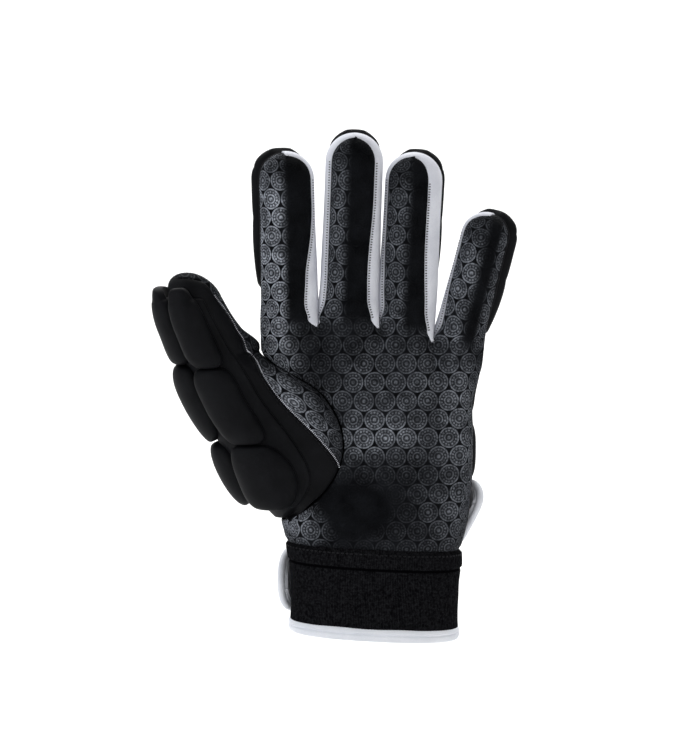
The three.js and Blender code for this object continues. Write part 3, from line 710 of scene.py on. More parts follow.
def finger_pads():
    """A pad in three lobes along the back of each finger, over its round tip."""
    forms = {}
    for index, name in enumerate(NAMES):
        left, right = (min(edge - 4, OUTER_PAD) for edge in edges_of(index, BACK_EDGE))

        def place(a, b, index=index, left=left, right=right):
            run = lerp(PAD_STARTS[index], 1.78, (1 + b) / 2)
            angle = lerp(right, -left, (1 + a) / 2)
            phi = np.maximum(0, run - 1) * np.pi / 2
            direction = tip_direction(angle, phi, BACK_TOP, 1)
            return finger_point(index, np.minimum(run, 1), direction, math.sin(math.radians(BACK_EDGE)))

        height = FINGER_PAD_HEIGHT - FINGER_SWELL
        forms[f"{name}_back_pad"] = pad_form(place, 21, 61, height, 1.6, ON_FABRIC, lobes=3, thin=0.3)
    return forms


def hand_pads():
    """Two rows of blocks across the back of the hand, one for each finger."""
    forms = {}
    for row, low, high in (("knuckle_pad", 0.66, 0.97), ("hand_pad", 0.33, 0.64)):
        for index, name in enumerate(NAMES):

            def place(a, b, index=index, low=low, high=high):
                return hand_face(index, -HAND_PAD_EDGE * a, lerp(low, high, (1 + b) / 2), 1, BACK_EDGE)

            height = FINGER_PAD_HEIGHT - FINGER_SWELL
            forms[f"{row}_{name}"] = pad_form(place, 25, 25, height, 1, ON_FABRIC)
    return forms


def foam_base():
    """The foam layer under the thumb's pads: a rounded slab that shows beside them as a flange."""
    def place(a, b):
        at = lerp(0.9, THUMB_ROWS, (1 + b) / 2)
        last = thumb_value("pad", at) + FLANGE
        return thumb_point(at, lerp(PAD_END - 8, last, (1 + a) / 2))

    return pad_form(place, 61, 81, FOAM + 0.6, 0.3, 0, corner=0.06, flat=40)


# Cuff and strap

def cuff_point(angle, z, grow):
    """A superellipse at a height, grown outwards: angle 0 at the front."""
    keys = ("left", "right", "depth", "middle")
    left, right, depth, middle = (column(CUFF_LEVELS, "z", key, z) for key in keys)
    rounded = lambda value: np.sign(value) * np.abs(value) ** (2 / HAND_ROUNDNESS)
    x = lerp(left - grow, right + grow, (1 + rounded(np.sin(angle))) / 2)
    return vec(x, middle - (depth + grow) * rounded(np.cos(angle)), z + CUFF_TILT * x)


def even_angles(count, z):
    """Angles round the cuff that lie evenly along its edge."""
    dense = np.linspace(0, 2 * np.pi, 4001)
    points = cuff_point(dense, z, 0)
    run = np.concatenate([[0], np.cumsum(np.linalg.norm(np.diff(points, axis=0), axis=1))])
    return np.interp(np.linspace(0, run[-1], count, endpoint=False), run, dense), run[-1]


RIBS = 140
RIB_STEPS = 4


def cuff_knit():
    """The knit band as one closed wall: fine ribs up the oval, pulled in along the hem and at
    the seam, and a little full between them."""
    angles, length = even_angles(RIBS * RIB_STEPS, 25)
    heights = np.linspace(5.4, SEAM_HEIGHT + 0.6, 66)
    z, angle = np.meshgrid(heights, angles, indexing="ij")
    rib = 0.05 * np.cos(np.arange(len(angles)) * 2 * np.pi / RIB_STEPS)[None, :]
    hem = np.exp(-(((z - HEM_HEIGHT) / 0.7) ** 2))
    seam = np.exp(-(((z - SEAM_HEIGHT - 0.4) / 1.4) ** 2))
    swell = 0.5 * smooth((z - HEM_HEIGHT) / 1.2) * smooth((SEAM_HEIGHT + 1 - z) / 2)
    around = np.arange(len(angles)) * length / len(angles)
    soft = 0.35 * ripple(around[None, :] + 0 * z, z * 1.4, 13, 21)
    grow = rib + swell + soft - 0.55 * hem - 1.4 * seam
    outer = cuff_point(angle, z, grow)
    inner = cuff_point(angle, z, grow - CUFF_WALL)[::-1]
    points = np.concatenate([outer, inner, outer[:1]])
    cloth = np.stack([np.broadcast_to(around, z.shape), z], -1)
    cloth = np.concatenate([cloth, cloth[::-1], cloth[:1]]).reshape(-1, 2)
    quads = quads_of(len(points), len(angles), around=True)
    mesh = mesh_from("cuff_knit", points.reshape(-1, 3), quads, cloth)
    weld(mesh, 0.001)
    return mesh


def ring_tube(name, section, steps=320):
    """A closed section of (grow, z) carried round the cuff's mouth."""
    angles, length = even_angles(steps, 3)
    grow, z = section[:, 0][:, None], section[:, 1][:, None]
    points = cuff_point(angles[None, :], z, grow)
    around = np.broadcast_to(np.arange(steps) * length / steps, points.shape[:2])
    cloth = np.stack([around, np.broadcast_to(z, points.shape[:2])], -1)
    points = np.concatenate([points, points[:1]])
    cloth = np.concatenate([cloth, cloth[:1]])
    quads = quads_of(len(points), steps, around=True)
    mesh = mesh_from(name, points.reshape(-1, 3), quads, cloth.reshape(-1, 2))
    weld(mesh, 0.001)
    return mesh


def binding_section(count=96):
    """A rounded bar with two grooves where the folded tape is stitched down."""
    turn = np.linspace(0, 2 * np.pi, count, endpoint=False)
    wide = np.sign(np.sin(turn)) * np.abs(np.sin(turn)) ** 0.75
    grow = -CUFF_WALL / 2 + (BINDING_THICKNESS / 2) * wide
    z = BINDING_HEIGHT / 2 - BINDING_HEIGHT / 2 * np.cos(turn)
    groove = np.exp(-(((z - 3.4) / 0.45) ** 2)) * np.abs(wide) * np.sign(wide)
    return np.stack([grow - 0.75 * groove, z], -1)


def wrist_point(angle, z, grow):
    """The wrist under the strap: the cuff's oval, and the widening hand above the seam."""
    above = np.maximum(0, z - SEAM_HEIGHT)
    point = cuff_point(angle, np.minimum(z, SEAM_HEIGHT), grow + WRIST_FLARE * above)
    point[..., 2] = z + CUFF_TILT * point[..., 0]
    return point


def strap_point(at, across, lift):
    """The strap's face: off the wrist at its edges and more by the crown in between, the crown
    leaning upwards and the lower edge slanting back."""
    keys = ("degrees", "z", "off", "crown", "lean", "slant")
    degrees, z, off, crown, lean, slant = (column(STRAP_LINE, "at", key, at) for key in keys)
    off = off + crown * (1 - across**2) * (1 + lean * across)
    degrees = degrees + slant * np.minimum(across, 0) ** 2
    return wrist_point(np.radians(degrees), z + across * STRAP_WIDTH / 2, off + lift)


def strap_half(at):
    """Both ends are round: the strap's half width there is that of an ellipse, a little more
    pointed at the free end."""
    free, fixed = np.clip((at - 0.84) / 0.16, 0, 1), np.clip(1 - at / 0.1, 0, 1)
    return np.maximum(0, 1 - free**2) ** 0.75 * np.sqrt(1 - fixed**2)


def strap_band():
    """The strap inside its piping: a slab a little hollow in the middle, with a rounded ridge
    along each side where the tape is folded in, and fuller on the wrist's side at both ends."""
    inset = 1 - PIPING / STRAP_WIDTH
    u, v = np.meshgrid(np.linspace(-1, 1, 49), np.linspace(0.012, 0.985, 160))
    across = u * inset * strap_half(v)
    folded = 0.5 * np.exp(-(((np.abs(u) - 0.76) / 0.07) ** 2))
    outer = strap_point(v, across, folded - 0.5 * (1 - u**2))
    ends = smooth((v - 0.8) / 0.12) + 1 - smooth((v - 0.05) / 0.1)
    fuller = 2.4 * ends * (1 - 0.5 * u**2)
    inner = strap_point(v, across, -folded - fuller - STRAP_THICKNESS)
    cloth = np.stack([across * STRAP_WIDTH / 2, v * 190], -1).reshape(-1, 2)
    points, quads = slab(outer, inner)
    return mesh_from("strap_band", points, quads, np.concatenate([cloth, cloth]))


def strap_piping():
    """The white rounded edge: a closed tube all round the strap, pinched along its top where it
    is sewn. Its section is a circle in the directions across and out of the strap."""
    way = np.linspace(-1, 1, 520, endpoint=False)
    at, across = (1 + np.cos(np.pi * way)) / 2, np.sign(way)
    across = across * strap_half(at)
    path = strap_point(at, across, -STRAP_THICKNESS / 2)
    out = unit(strap_point(at, across, 1) - path)
    tangent = unit(np.roll(path, -1, 0) - np.roll(path, 1, 0))
    side = unit(np.cross(tangent, out))
    turn = np.linspace(0, 2 * np.pi, 24, endpoint=False)
    reach = PIPING * (1 - 0.2 * np.exp(-(((turn - np.pi / 2) / 0.3) ** 2)))
    rings = side[:, None] * (np.cos(turn) * reach)[:, None] + out[:, None] * (np.sin(turn) * reach)[:, None]
    points = path[:, None] + rings
    points = np.concatenate([points, points[:1]])
    mesh = mesh_from("strap_piping", points.reshape(-1, 3), quads_of(len(points), len(turn), around=True))
    weld(mesh, 0.001)
    return mesh


# Stitches

def spaced(path, pitch):
    """Middles and directions of stitches that lie pitch apart along a path."""
    run = np.concatenate([[0], np.cumsum(np.linalg.norm(np.diff(path, axis=0), axis=1))])
    spots = np.arange(pitch / 2, run[-1], pitch)
    at = lambda s: np.stack([np.interp(s, run, path[:, k]) for k in range(3)], -1)
    return at(spots), unit(at(spots + 0.3) - at(spots - 0.3))


def stitches(name, rows, pitch=2.6, length=2.0, radius=0.32, crosswise=False):
    """Rows of stitches as one mesh: each is a spindle of rings along the row or across it, with
    the row's outward direction as its up."""
    turn = np.linspace(0, 2 * np.pi, 6, endpoint=False)
    t = np.linspace(-1, 1, 7)
    fat = np.sqrt(np.maximum(0, 1 - t**4)) * radius + 1e-4
    all_points, all_quads, count = [], [], 0
    for path, outward in rows:
        middle, along = spaced(path, pitch)
        run = np.linspace(0, 1, len(path))
        spot = np.linspace(0, 1, len(middle))
        out = unit(np.stack([np.interp(spot, run, outward[:, k]) for k in range(3)], -1))
        side = unit(np.cross(along, out))
        up = np.cross(side, along)
        if crosswise:
            along, side = side, -along
        sink = -0.5 * radius * t**2
        ring = (
            middle[:, None, None]
            + along[:, None, None] * (t * length / 2)[None, :, None, None]
            + up[:, None, None] * (fat[:, None] * np.sin(turn) + sink[:, None])[None, :, :, None]
            + side[:, None, None] * (fat[:, None] * np.cos(turn))[None, :, :, None]
        )
        quads = quads_of(7, 6, around=True)
        starts = count + np.arange(len(middle))[:, None, None] * 42
        all_points.append(ring.reshape(-1, 3))
        all_quads.append((quads[None] + starts).reshape(-1, 4))
        count += len(middle) * 42
    return mesh_from(name, np.concatenate(all_points), np.concatenate(all_quads))


def cuff_row(z, grow, first=0.0, last=2 * np.pi):
    """A row round the cuff at a height, with its outward directions."""
    angle = np.linspace(first, last, 900)
    path = cuff_point(angle, z, grow)
    return path, cuff_point(angle, z, grow + 1) - path


def thumb_row(degrees_at, lift, low, high, count=400):
    """A row up the thumb at an angle for each slice, lifted off its face."""
    at = np.linspace(low, high, count)
    degrees = degrees_at(at)
    here = thumb_point(at, degrees)
    beside = thumb_point(at, degrees + 1.5) - here
    above = np.gradient(here, axis=0)
    out = unit(np.cross(beside, above))
    return here + out * lift, out


def finger_row(index, side, lift=0.25, count=300):
    """A row down the seam between a finger's printed front and its strip."""
    share = np.linspace(0.04, 1, count)
    angle = side * (front_edge(index, side, share) - 1)

    def at(turned, higher):
        direction = tip_direction(turned, 0 * turned, FRONT_TOP, -1)
        return finger_point(index, higher, direction, math.sin(math.radians(FABRIC_EDGE)))

    here = at(angle, share)
    out = unit(np.cross(at(angle + 2, share) - here, at(angle, share + 0.01) - here))
    return here + out * lift, out


# Materials

class Tree:
    """Short ways to add nodes to a material or a group."""

    def __init__(self, tree):
        self.tree = tree

    def add(self, kind, inputs=None, **settings):
        node = self.tree.nodes.new(kind)
        for key, value in settings.items():
            setattr(node, key, value)
        for key, value in (inputs or {}).items():
            if isinstance(value, bpy.types.NodeSocket):
                self.tree.links.new(value, node.inputs[key])
            else:
                node.inputs[key].default_value = value
        return node

    def math(self, operation, a, b=0.0, c=0.0):
        return self.add("ShaderNodeMath", {0: a, 1: b, 2: c}, operation=operation).outputs[0]

    def vector(self, operation, a, b=(0, 0, 0), out=0):
        return self.add("ShaderNodeVectorMath", {0: a, 1: b}, operation=operation).outputs[out]

    def band(self, value, start, end):
        """0 before start and 1 after end, smoothly between. End may lie before start."""
        inputs = {"Value": value, "From Min": start, "From Max": end}
        return self.add("ShaderNodeMapRange", inputs, interpolation_type="SMOOTHSTEP").outputs[0]

    def mix(self, share, a, b):
        """A blend of two colours."""
        node = self.add("ShaderNodeMix", data_type="RGBA")
        for socket, value in ((node.inputs[0], share), (node.inputs[6], a), (node.inputs[7], b)):
            if isinstance(value, bpy.types.NodeSocket):
                self.tree.links.new(value, socket)
            else:
                socket.default_value = value
        return node.outputs[2]


def new_group(name, inputs, outputs):
    """A shader node group with named inputs (name, kind, value) and outputs (name, kind)."""
    group = bpy.data.node_groups.new(name, "ShaderNodeTree")
    for label, kind, value in inputs:
        socket = group.interface.new_socket(label, in_out="INPUT", socket_type=kind)
        if value is not None:
            socket.default_value = value
    for label, kind in outputs:
        group.interface.new_socket(label, in_out="OUTPUT", socket_type=kind)
    tree = Tree(group)
    return group, tree, tree.add("NodeGroupInput"), tree.add("NodeGroupOutput")


VECTOR, FLOAT = "NodeSocketVector", "NodeSocketFloat"
PRINT_PITCH = 10.2


def round_print_group():
    """Round grip motifs in staggered rows: two rings with beads between them and a dot in the
    middle. Puts out where the print lies and how thick it is."""
    group, t, given, out = new_group(
        "round print",
        [("Cloth", VECTOR, None), ("Pitch", FLOAT, PRINT_PITCH)],
        [("Mask", FLOAT)],
    )
    pitch = given.outputs["Pitch"]
    row = t.math("MULTIPLY", pitch, 3**0.5)
    cell = t.add("ShaderNodeCombineXYZ", {0: pitch, 1: row, 2: 1.0}).outputs[0]
    place = t.vector("DIVIDE", t.vector("MULTIPLY", given.outputs["Cloth"], (1000, 1000, 0)), cell)
    half = (0.5, 0.5, 0)
    even = t.vector("SUBTRACT", t.vector("FRACTION", place), half)
    odd = t.vector("SUBTRACT", t.vector("FRACTION", t.vector("ADD", place, half)), half)
    even, odd = t.vector("MULTIPLY", even, cell), t.vector("MULTIPLY", odd, cell)
    length_even, length_odd = t.vector("LENGTH", even, out=1), t.vector("LENGTH", odd, out=1)
    nearer = t.math("LESS_THAN", length_odd, length_even)
    picked = t.add("ShaderNodeMix", data_type="VECTOR")
    t.tree.links.new(nearer, picked.inputs[0])
    t.tree.links.new(even, picked.inputs[4])
    t.tree.links.new(odd, picked.inputs[5])
    offset = t.add("ShaderNodeSeparateXYZ", {0: picked.outputs[1]})
    share = t.math("DIVIDE", t.math("MINIMUM", length_even, length_odd), pitch)
    turn = t.math("DIVIDE", t.math("ARCTAN2", offset.outputs[1], offset.outputs[0]), 2 * math.pi)
    # Sizes as shares of the pitch: the rings, the beads between them and the dot
    outer_ring, inner_ring, ring_width = 0.445, 0.2, 0.036
    beads, bead_line, bead_size, dot_size = 14, 0.325, 0.05, 0.085
    around = t.math("SUBTRACT", t.math("FRACT", t.math("MULTIPLY", turn, beads)), 0.5)
    sideways = t.math("MULTIPLY", around, 2 * math.pi * bead_line / beads)
    inward = t.math("SUBTRACT", share, bead_line)
    squares = t.math("POWER", sideways, 2), t.math("POWER", t.math("ABSOLUTE", inward), 2)
    bead = t.math("SQRT", t.math("ADD", *squares))
    soft = 0.012
    parts = [
        t.band(bead, bead_size + soft, bead_size - soft),
        t.band(share, dot_size + soft, dot_size - soft),
        t.math("MULTIPLY", t.band(share, outer_ring, 0.42), 0.2),
    ]
    for line, width in ((outer_ring, ring_width), (inner_ring, 0.03)):
        off = t.math("ABSOLUTE", t.math("SUBTRACT", share, line))
        parts.append(t.band(off, width + soft, width - soft))
    mask = parts[0]
    for part in parts[1:]:
        mask = t.math("MAXIMUM", mask, part)
    t.tree.links.new(mask, out.inputs["Mask"])
    return group


def fabric_group():
    """A fine knit face: rounded stitches in staggered rows with a soft fuzz. Puts out the
    height of the stitches and a slight shade."""
    group, t, given, out = new_group(
        "fine knit",
        [("Place", VECTOR, None), ("Stitch", FLOAT, 0.7), ("Fuzz", FLOAT, 0.5)],
        [("Height", FLOAT), ("Shade", FLOAT)],
    )
    place = t.vector("SCALE", given.outputs["Place"])
    place.node.inputs["Scale"].default_value = 1000
    scale = t.math("DIVIDE", 1.0, given.outputs["Stitch"])
    cells = t.add("ShaderNodeTexVoronoi", {"Vector": place, "Scale": scale, "Randomness": 0.35})
    cells.feature = "F1"
    bump = t.band(cells.outputs["Distance"], 0.75, 0.0)
    fuzz = t.add("ShaderNodeTexNoise", {"Vector": place, "Scale": 2.2, "Detail": 4.0, "Roughness": 0.65})
    broad = t.add("ShaderNodeTexNoise", {"Vector": place, "Scale": 0.09, "Detail": 3.0, "Roughness": 0.55})
    rough = t.math("MULTIPLY", fuzz.outputs[0], given.outputs["Fuzz"])
    t.tree.links.new(t.math("ADD", bump, rough), out.inputs["Height"])
    shade = t.math("ADD", t.math("MULTIPLY", fuzz.outputs[0], 0.6), t.math("MULTIPLY", broad.outputs[0], 0.8))
    t.tree.links.new(shade, out.inputs["Shade"])
    return group


def rib_group():
    """Knit ribs up the cuff: fine wales across the cloth coordinate with small stitches along."""
    group, t, given, out = new_group(
        "wales", [("Cloth", VECTOR, None), ("Wale", FLOAT, 0.8)], [("Height", FLOAT)]
    )
    split = t.add("ShaderNodeSeparateXYZ", {0: t.vector("MULTIPLY", given.outputs["Cloth"], (1000, 1000, 0))})
    across = t.math("DIVIDE", split.outputs[0], given.outputs["Wale"])
    wave = t.math("SINE", t.math("MULTIPLY", across, 2 * math.pi))
    lean = t.math("MULTIPLY", t.math("ABSOLUTE", wave), 0.35)
    along = t.math("SINE", t.math("MULTIPLY", t.math("ADD", split.outputs[1], lean), 2 * math.pi / 0.7))
    both = t.math("ADD", t.math("MULTIPLY", wave, 0.6), t.math("MULTIPLY", along, 0.4))
    t.tree.links.new(both, out.inputs["Height"])
    return group


PRINT, KNIT, WALES = round_print_group(), fabric_group(), rib_group()


def material(name, roughness, specular):
    """A material with its tree and its shader, whose roughness and reflection are plain values."""
    made = bpy.data.materials.new(name)
    made.use_nodes = True
    t = Tree(made.node_tree)
    shader = made.node_tree.nodes["Principled BSDF"]
    shader.inputs["Roughness"].default_value = roughness
    shader.inputs["Specular IOR Level"].default_value = specular
    return made, t, shader


def grouped(t, group, inputs):
    """A node group added to a tree, with its inputs linked or set."""
    node = t.add("ShaderNodeGroup")
    node.node_tree = group
    for key, value in inputs.items():
        if isinstance(value, bpy.types.NodeSocket):
            t.tree.links.new(value, node.inputs[key])
        else:
            node.inputs[key].default_value = value
    return node


def bumped(t, shader, height, strength, distance):
    """A bump of the shader's surface, its distance in millimetres."""
    bump = t.add("ShaderNodeBump", {"Height": height, "Strength": strength, "Distance": distance * MM})
    t.tree.links.new(bump.outputs[0], shader.inputs["Normal"])


def plain_fabric(name, dark, light, roughness, specular, stitch, depth):
    """A knit of one colour, a little lighter and darker over its face. The stitch's size and
    the bump's depth are in millimetres."""
    made, t, shader = material(name, roughness, specular)
    place = t.add("ShaderNodeTexCoord").outputs["Object"]
    knit = grouped(t, KNIT, {"Place": place, "Stitch": stitch, "Fuzz": 0.5})
    shade = t.band(knit.outputs["Shade"], 0.45, 0.95)
    t.tree.links.new(t.mix(shade, dark, light), shader.inputs["Base Color"])
    bumped(t, shader, knit.outputs["Height"], 0.5, depth)
    return made


def printed_fabric():
    """Matte black palm fabric with its raised rubbery print, whose brightness per point is painted light
    where the lamps catch it and wear where the hand grips.
    """
    made, t, shader = material("printed_fabric", 0.8, 0.03)
    cloth = t.add("ShaderNodeUVMap", uv_map="cloth").outputs[0]
    light_and_wear = t.add("ShaderNodeAttribute", attribute_name="light_and_wear").outputs["Fac"]
    place = t.add("ShaderNodeTexCoord").outputs["Object"]
    print_mask = grouped(t, PRINT, {"Cloth": cloth, "Pitch": PRINT_PITCH}).outputs["Mask"]
    knit = grouped(t, KNIT, {"Place": place, "Stitch": 0.6, "Fuzz": 0.7})
    broken = t.add("ShaderNodeTexNoise", {"Vector": place, "Scale": 900.0, "Detail": 3.0, "Roughness": 0.7})
    worn = t.add("ShaderNodeTexNoise", {"Vector": place, "Scale": 260.0, "Detail": 5.0, "Roughness": 0.75})
    whole = t.math("MULTIPLY", t.band(broken.outputs[0], 0.38, 0.54), t.band(worn.outputs[0], 0.38, 0.56))
    cover = t.math("MULTIPLY", print_mask, t.math("ADD", t.math("MULTIPLY", whole, 0.7), 0.3))
    shade = t.band(knit.outputs["Shade"], 0.45, 0.95)
    ground = t.mix(shade, (0.001, 0.0011, 0.0015, 1), (0.0085, 0.0092, 0.0112, 1))
    # The print's colour follows the per-point attribute: painted light where the lamps catch the print, and
    # wear
    ink = t.mix(light_and_wear, (0.004, 0.0044, 0.0052, 1), (0.5, 0.53, 0.595, 1))
    t.tree.links.new(t.mix(cover, ground, ink), shader.inputs["Base Color"])
    t.tree.links.new(t.math("SUBTRACT", 0.78, t.math("MULTIPLY", cover, 0.3)), shader.inputs["Roughness"])
    raised = t.math("ADD", t.math("MULTIPLY", knit.outputs["Height"], 0.4), t.math("MULTIPLY", cover, 1.0))
    bumped(t, shader, raised, 0.6, 0.16)
    return made


def rib_knit():
    """The cuff's ribbed knit, flecked all over, with shade painted as a dark line along its hem's groove."""
    made, t, shader = material("rib_knit", 0.95, 0.01)
    cloth = t.add("ShaderNodeUVMap", uv_map="cloth").outputs[0]
    place = t.add("ShaderNodeTexCoord").outputs["Object"]
    wales = grouped(t, WALES, {"Cloth": cloth, "Wale": 0.8})
    knit = grouped(t, KNIT, {"Place": place, "Stitch": 0.5, "Fuzz": 0.9})
    loops = t.math("MULTIPLY", t.math("ADD", wales.outputs[0], 1.0), 0.12)
    fleck = t.add("ShaderNodeTexNoise", {"Vector": place, "Scale": 750.0, "Detail": 4.0, "Roughness": 0.8})
    shade = t.band(t.math("ADD", fleck.outputs[0], loops), 0.45, 0.85)
    height_up = t.math("MULTIPLY", t.add("ShaderNodeSeparateXYZ", {0: cloth}).outputs[1], 1000)
    # Painted shade: the colour darkens along the hem's groove
    painted_hem_shade = t.band(t.math("ABSOLUTE", t.math("SUBTRACT", height_up, HEM_HEIGHT - 0.2)), 0.25, 1.0)
    shade = t.math("MULTIPLY", shade, painted_hem_shade)
    colour = t.mix(shade, (0.001, 0.001, 0.0014, 1), (0.016, 0.0162, 0.018, 1))
    t.tree.links.new(colour, shader.inputs["Base Color"])
    height = t.math("ADD", wales.outputs[0], t.math("MULTIPLY", knit.outputs["Height"], 0.6))
    bumped(t, shader, height, 0.6, 0.14)
    return made


PRINTED = printed_fabric()
KNITTED = rib_knit()
BLACK = plain_fabric(
    "black_fabric", (0.0022, 0.0023, 0.003, 1), (0.0055, 0.0057, 0.007, 1),
    roughness=0.6, specular=0.08, stitch=0.55, depth=0.05,
)
BACK = plain_fabric(
    "back_fabric", (0.0025, 0.0026, 0.0032, 1), (0.006, 0.0062, 0.0075, 1),
    roughness=0.8, specular=0.05, stitch=0.7, depth=0.09,
)
WHITE = plain_fabric(
    "white_fabric", (0.68, 0.69, 0.75, 1), (0.82, 0.83, 0.88, 1),
    roughness=0.9, specular=0.15, stitch=0.5, depth=0.05,
)
BINDING = plain_fabric(
    "white_binding", (0.76, 0.78, 0.83, 1), (0.86, 0.87, 0.91, 1),
    roughness=0.6, specular=0.3, stitch=0.4, depth=0.03,
)
THREAD = plain_fabric(
    "thread", (0.004, 0.004, 0.005, 1), (0.012, 0.012, 0.014, 1),
    roughness=0.6, specular=0.15, stitch=0.25, depth=0.03,
)


# The glove

# Patches that lighten or darken the palm's print: the lighter ones are painted highlights where the lamps
# catch the print, the darker ones make it darker
PALM_LIGHT_AND_WEAR = table(
    "x z wide high turn amount",
    (-51, 137, 8, 22, 28, 1.1),  # painted highlight along the index finger's outer side and the thumb's seam
    (-49, 150, 8, 15, 0, 0.8),
    (8, 117, 36, 24, 0, 0.3),  # painted highlight over the middle of the palm
    (0, 98, 20, 8, 0, 0.45),  # painted highlight beside the thumb's seam
    (41, 96, 9, 36, 0, 0.36),  # painted highlight down the little finger's side
    (33, 62, 12, 16, 0, 0.16),
    (-38, 57, 11, 8, -20, 0.9),  # painted highlight on the corner below the thumb
    (-14, 63, 25, 15, 8, -0.14),  # darker over the heel of the hand
    (-24, 128, 12, 16, 25, -0.09),  # and beside the web
)
# Painted light on the thumb's print: a bright band up its seam side and a faint patch towards its tip
THUMB_LIGHT_AND_WEAR = table(
    "x z wide high turn amount",
    (-37, 113, 6.5, 19, 42, 1),
    (-70, 156, 6, 20, 22, 0.12),
)


def patches_at(rows, x, z):
    """Soft leaning ellipses added up: each is a bell curve of the distance from its middle."""
    total = np.zeros_like(x)
    for px, pz, wide, high, turn, amount in zip(*rows.values()):
        cosine, sine = math.cos(math.radians(turn)), math.sin(math.radians(turn))
        across = ((x - px) * cosine + (z - pz) * sine) / wide
        along = ((z - pz) * cosine - (x - px) * sine) / high
        total += amount * np.exp(-(across**2 + along**2))
    return total


def finger_light_and_wear(x, z):
    """The print's brightness on the fingers, painted light: bright down each finger's left side,
    where the left lamp falls, and down the right side of the little one."""
    nearest, light_and_wear, rise = np.full(x.shape, 99.0), np.zeros_like(x), np.zeros_like(x)
    # Per finger: how far across the painted light reaches from the left side, and how bright it is
    for index, (reach, lit_and_fresh) in enumerate(((0, 1), (-0.15, 0.38), (-0.05, 0.34), (0.1, 0.43))):
        f, base, tip, axis, across = finger_frame(index)
        length = np.linalg.norm(tip - base)
        share = ((x - base[0]) * axis[0] + (z - base[2]) * axis[2]) / length
        centre = base[0] + axis[0] * length * share
        side = (x - centre) / lerp(across[0], f["width"], smooth(share / 0.3))
        here = lit_and_fresh * (1 - smooth((side - reach + 0.3) / 0.4)) * (1 - 0.6 * smooth((share - 0.85) / 0.15))
        if index == 3:
            here += 0.25 * smooth((side - 0.45) / 0.2)
        closer = np.abs(side) < nearest
        nearest = np.where(closer, np.abs(side), nearest)
        light_and_wear, rise = np.where(closer, here, light_and_wear), np.where(closer, share, rise)
    return light_and_wear, rise


def light_and_wear_of(mesh, rows):
    """How light the print is at each point: painted light, brightest at the outer edges where the lamps catch
    it, and wear, thin where it is gripped.
    """
    places = array_of(mesh.vertices, "co", 3) / MM
    x, z = places[:, 0], places[:, 2]
    light_and_wear = 0.07 + patches_at(rows, x, z)
    if rows is PALM_LIGHT_AND_WEAR:
        on_finger, rise = finger_light_and_wear(x, z)
        light_and_wear = lerp(light_and_wear, on_finger, smooth((rise + 0.03) / 0.1))
    light_and_wear = light_and_wear * (1 + 0.3 * ripple(x, z, 9, 11) + 0.15 * ripple(x, z, 3.5, 12))
    return np.clip(0.84 * light_and_wear, 0, 1)


def with_light_and_wear(mesh, rows):
    attribute = mesh.attributes.new("light_and_wear", "FLOAT", "POINT")
    attribute.data.foreach_set("value", light_and_wear_of(mesh, rows).astype(np.float32))
    return mesh


palm = with_light_and_wear(hand_side("palm_fabric", -1, FABRIC_EDGE, FRONT_TOP), PALM_LIGHT_AND_WEAR)
thicken(place_piece(palm, "palm_fabric", PRINTED, "printed_fabric", "palm_panel"))
back = hand_side("back_fabric", 1, BACK_EDGE, BACK_TOP)
thicken(place_piece(back, "back_fabric", BACK, "black_fabric", "back_panel"))
for index in range(3):
    pair = f"{NAMES[index]}_{NAMES[index + 1]}"
    strip = fourchette(index, "strip")
    strip = place_piece(strip, f"side_strip_{pair}", WHITE, "white_fabric", f"fourchette_{pair}")
    thicken(strip, STRIP_WALL)

thumb_palm = thumb_sheet("thumb_palm", 1.95, printed_edge, lambda at: far_edge(at, -1))
thumb_palm = with_light_and_wear(thumb_palm, THUMB_LIGHT_AND_WEAR)
thicken(place_piece(thumb_palm, "thumb_palm_fabric", PRINTED, "printed_fabric", "thumb_palm_panel"))
thumb_back = thumb_sheet("thumb_back", 0.02, lambda at: far_edge(at, 1), printed_edge)
thicken(place_piece(thumb_back, "thumb_back_fabric", BLACK, "black_fabric", "thumb_back_panel"))

points, quads, held = foam_base()
foam = mesh_from("foam", points, quads)
foam = place_piece(foam, "thumb_foam_base", BLACK, "black_fabric", "thumb_pad_base")

forms = {**thumb_pads(), **finger_pads(), **hand_pads()}
shapes = puffed(list(forms.values()))
for (node, form), shape in zip(forms.items(), shapes):
    pad = mesh_from(node, shape, form[1])
    pad = place_piece(pad, node.replace("pad", "cushion"), BLACK, "black_fabric", node)
    subdivide(pad)

place_piece(cuff_knit(), "cuff_knit", KNITTED, "rib_knit", "cuff_band")
place_piece(ring_tube("cuff_trim", binding_section()), "cuff_trim", BINDING, "white_binding", "cuff_binding")
place_piece(strap_band(), "strap_band", BINDING, "white_binding", "wrist_strap")
place_piece(strap_piping(), "strap_edge", BINDING, "white_binding", "strap_piping")

cuff_rows = [cuff_row(SEAM_HEIGHT - 1.7, 0.45)]
place_piece(stitches("cuff", cuff_rows, 2.2, 1.5, 0.34), "cuff_stitches", THREAD, "black_fabric")
thumb_edges = [
    thumb_row(lambda at: printed_edge(at) - 4, 0.3, 2.2, 10.0),
    thumb_row(lambda at: PAD_END - 12 + 0 * at, 0.3, 1.2, 9.9),
]
place_piece(stitches("thumb", thumb_edges, 2.4, 1.8, 0.22), "thumb_stitches", THREAD, "black_fabric")
frayed = [thumb_row(lambda at: printed_edge(at) + 0.4, 0.1, 2.2, 10.05, 900)]
place_piece(stitches("fray", frayed, 0.9, 0.9, 0.16, True), "thumb_seam_edge", WHITE, "white_fabric")
finger_edges = [finger_row(i, side) for i, side in ((0, 1), (1, -1), (1, 1), (2, -1), (2, 1), (3, -1))]
place_piece(stitches("teeth", finger_edges, 1.25, 1.2, 0.24, True), "finger_seam_edge", BLACK, "black_fabric")


# Camera, lights and floor

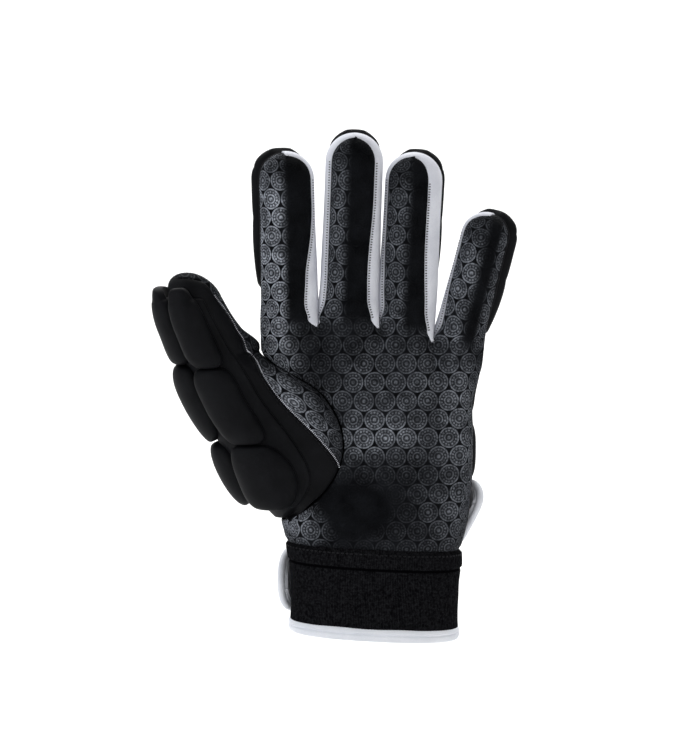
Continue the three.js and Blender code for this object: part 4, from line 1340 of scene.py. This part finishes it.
AIM = Vector((-0.01625, 0, 0.1261))
DISTANCE = 1.05
ELEVATION = math.radians(4)
FOCAL = 103.9  # millimetres, for 0.485 mm of the glove to a pixel of a picture 750 pixels high

camera = bpy.data.objects.new("camera", bpy.data.cameras.new("camera"))
bpy.context.scene.collection.objects.link(camera)
camera.data.lens = FOCAL
camera.data.sensor_width = 36
camera.data.clip_start, camera.data.clip_end = 0.05, 20
look = Vector((0, math.cos(ELEVATION), -math.sin(ELEVATION)))
camera.location = AIM - look * DISTANCE
camera.rotation_euler = look.to_track_quat("-Z", "Y").to_euler()
bpy.context.scene.camera = camera


def softbox(name, place, aim, size, power, colour=(1, 1, 1)):
    """A rectangular light that faces a point, its size in metres and its power in watts."""
    light = bpy.data.lights.new(name, "AREA")
    light.shape = "RECTANGLE"
    light.size, light.size_y = size
    light.energy = power
    light.color = colour
    lamp = bpy.data.objects.new(name, light)
    bpy.context.scene.collection.objects.link(lamp)
    lamp.location = place
    lamp.rotation_euler = (Vector(aim) - Vector(place)).to_track_quat("-Z", "Y").to_euler()


CENTRE = (-0.015, 0, 0.13)
softbox("left box", (-0.71, -0.38, 0.3), CENTRE, (0.5, 0.9), 3.3, (0.93, 0.96, 1))
softbox("right box", (0.64, -0.52, 0.22), CENTRE, (0.4, 0.9), 1.8)
softbox("front box", (0.12, -1, 0.05), CENTRE, (0.7, 0.5), 1.5)
softbox("top box", (0, -0.35, 0.9), CENTRE, (0.9, 0.5), 1)
softbox("back wash", (0, 0.75, 1.3), (0, 0.9, 0), (2.4, 0.9), 34)

world = bpy.data.worlds.new("studio")
world.use_nodes = True
world.node_tree.nodes["Background"].inputs[0].default_value = (0.96, 0.98, 1, 1)
world.node_tree.nodes["Background"].inputs[1].default_value = 0.13
bpy.context.scene.world = world
bpy.context.scene.view_settings.view_transform = "Standard"


def sweep():
    """The floor, curving up behind into the backdrop: a flat line, a quarter circle, a wall."""
    turn = np.linspace(0, np.pi / 2, 24)
    radius = 700
    y = np.concatenate([[-2500], 900 + radius * np.sin(turn), [900 + radius]])
    z = np.concatenate([[0], radius * (1 - np.cos(turn)), [2600]]) - 60
    x = np.linspace(-3000, 3000, 3)
    points = vec(x[None, :], y[:, None], z[:, None]).reshape(-1, 3)
    return mesh_from("floor", points, quads_of(len(y), len(x)))


floor = bpy.data.objects.new("floor", sweep())
bpy.context.scene.collection.objects.link(floor)
paper, paper_tree, paper_shader = material("paper", roughness=0.9, specular=0.1)
paper_grain = paper_tree.add("ShaderNodeTexNoise", {"Scale": 40.0})
paper_place = paper_tree.add("ShaderNodeTexCoord").outputs["Object"]
paper_tree.tree.links.new(paper_place, paper_grain.inputs["Vector"])
paper_tone = paper_tree.mix(paper_grain.outputs[0], (0.9, 0.9, 0.9, 1), (0.93, 0.93, 0.93, 1))
paper_tree.tree.links.new(paper_tone, paper_shader.inputs["Base Color"])
floor.data.materials.append(paper)
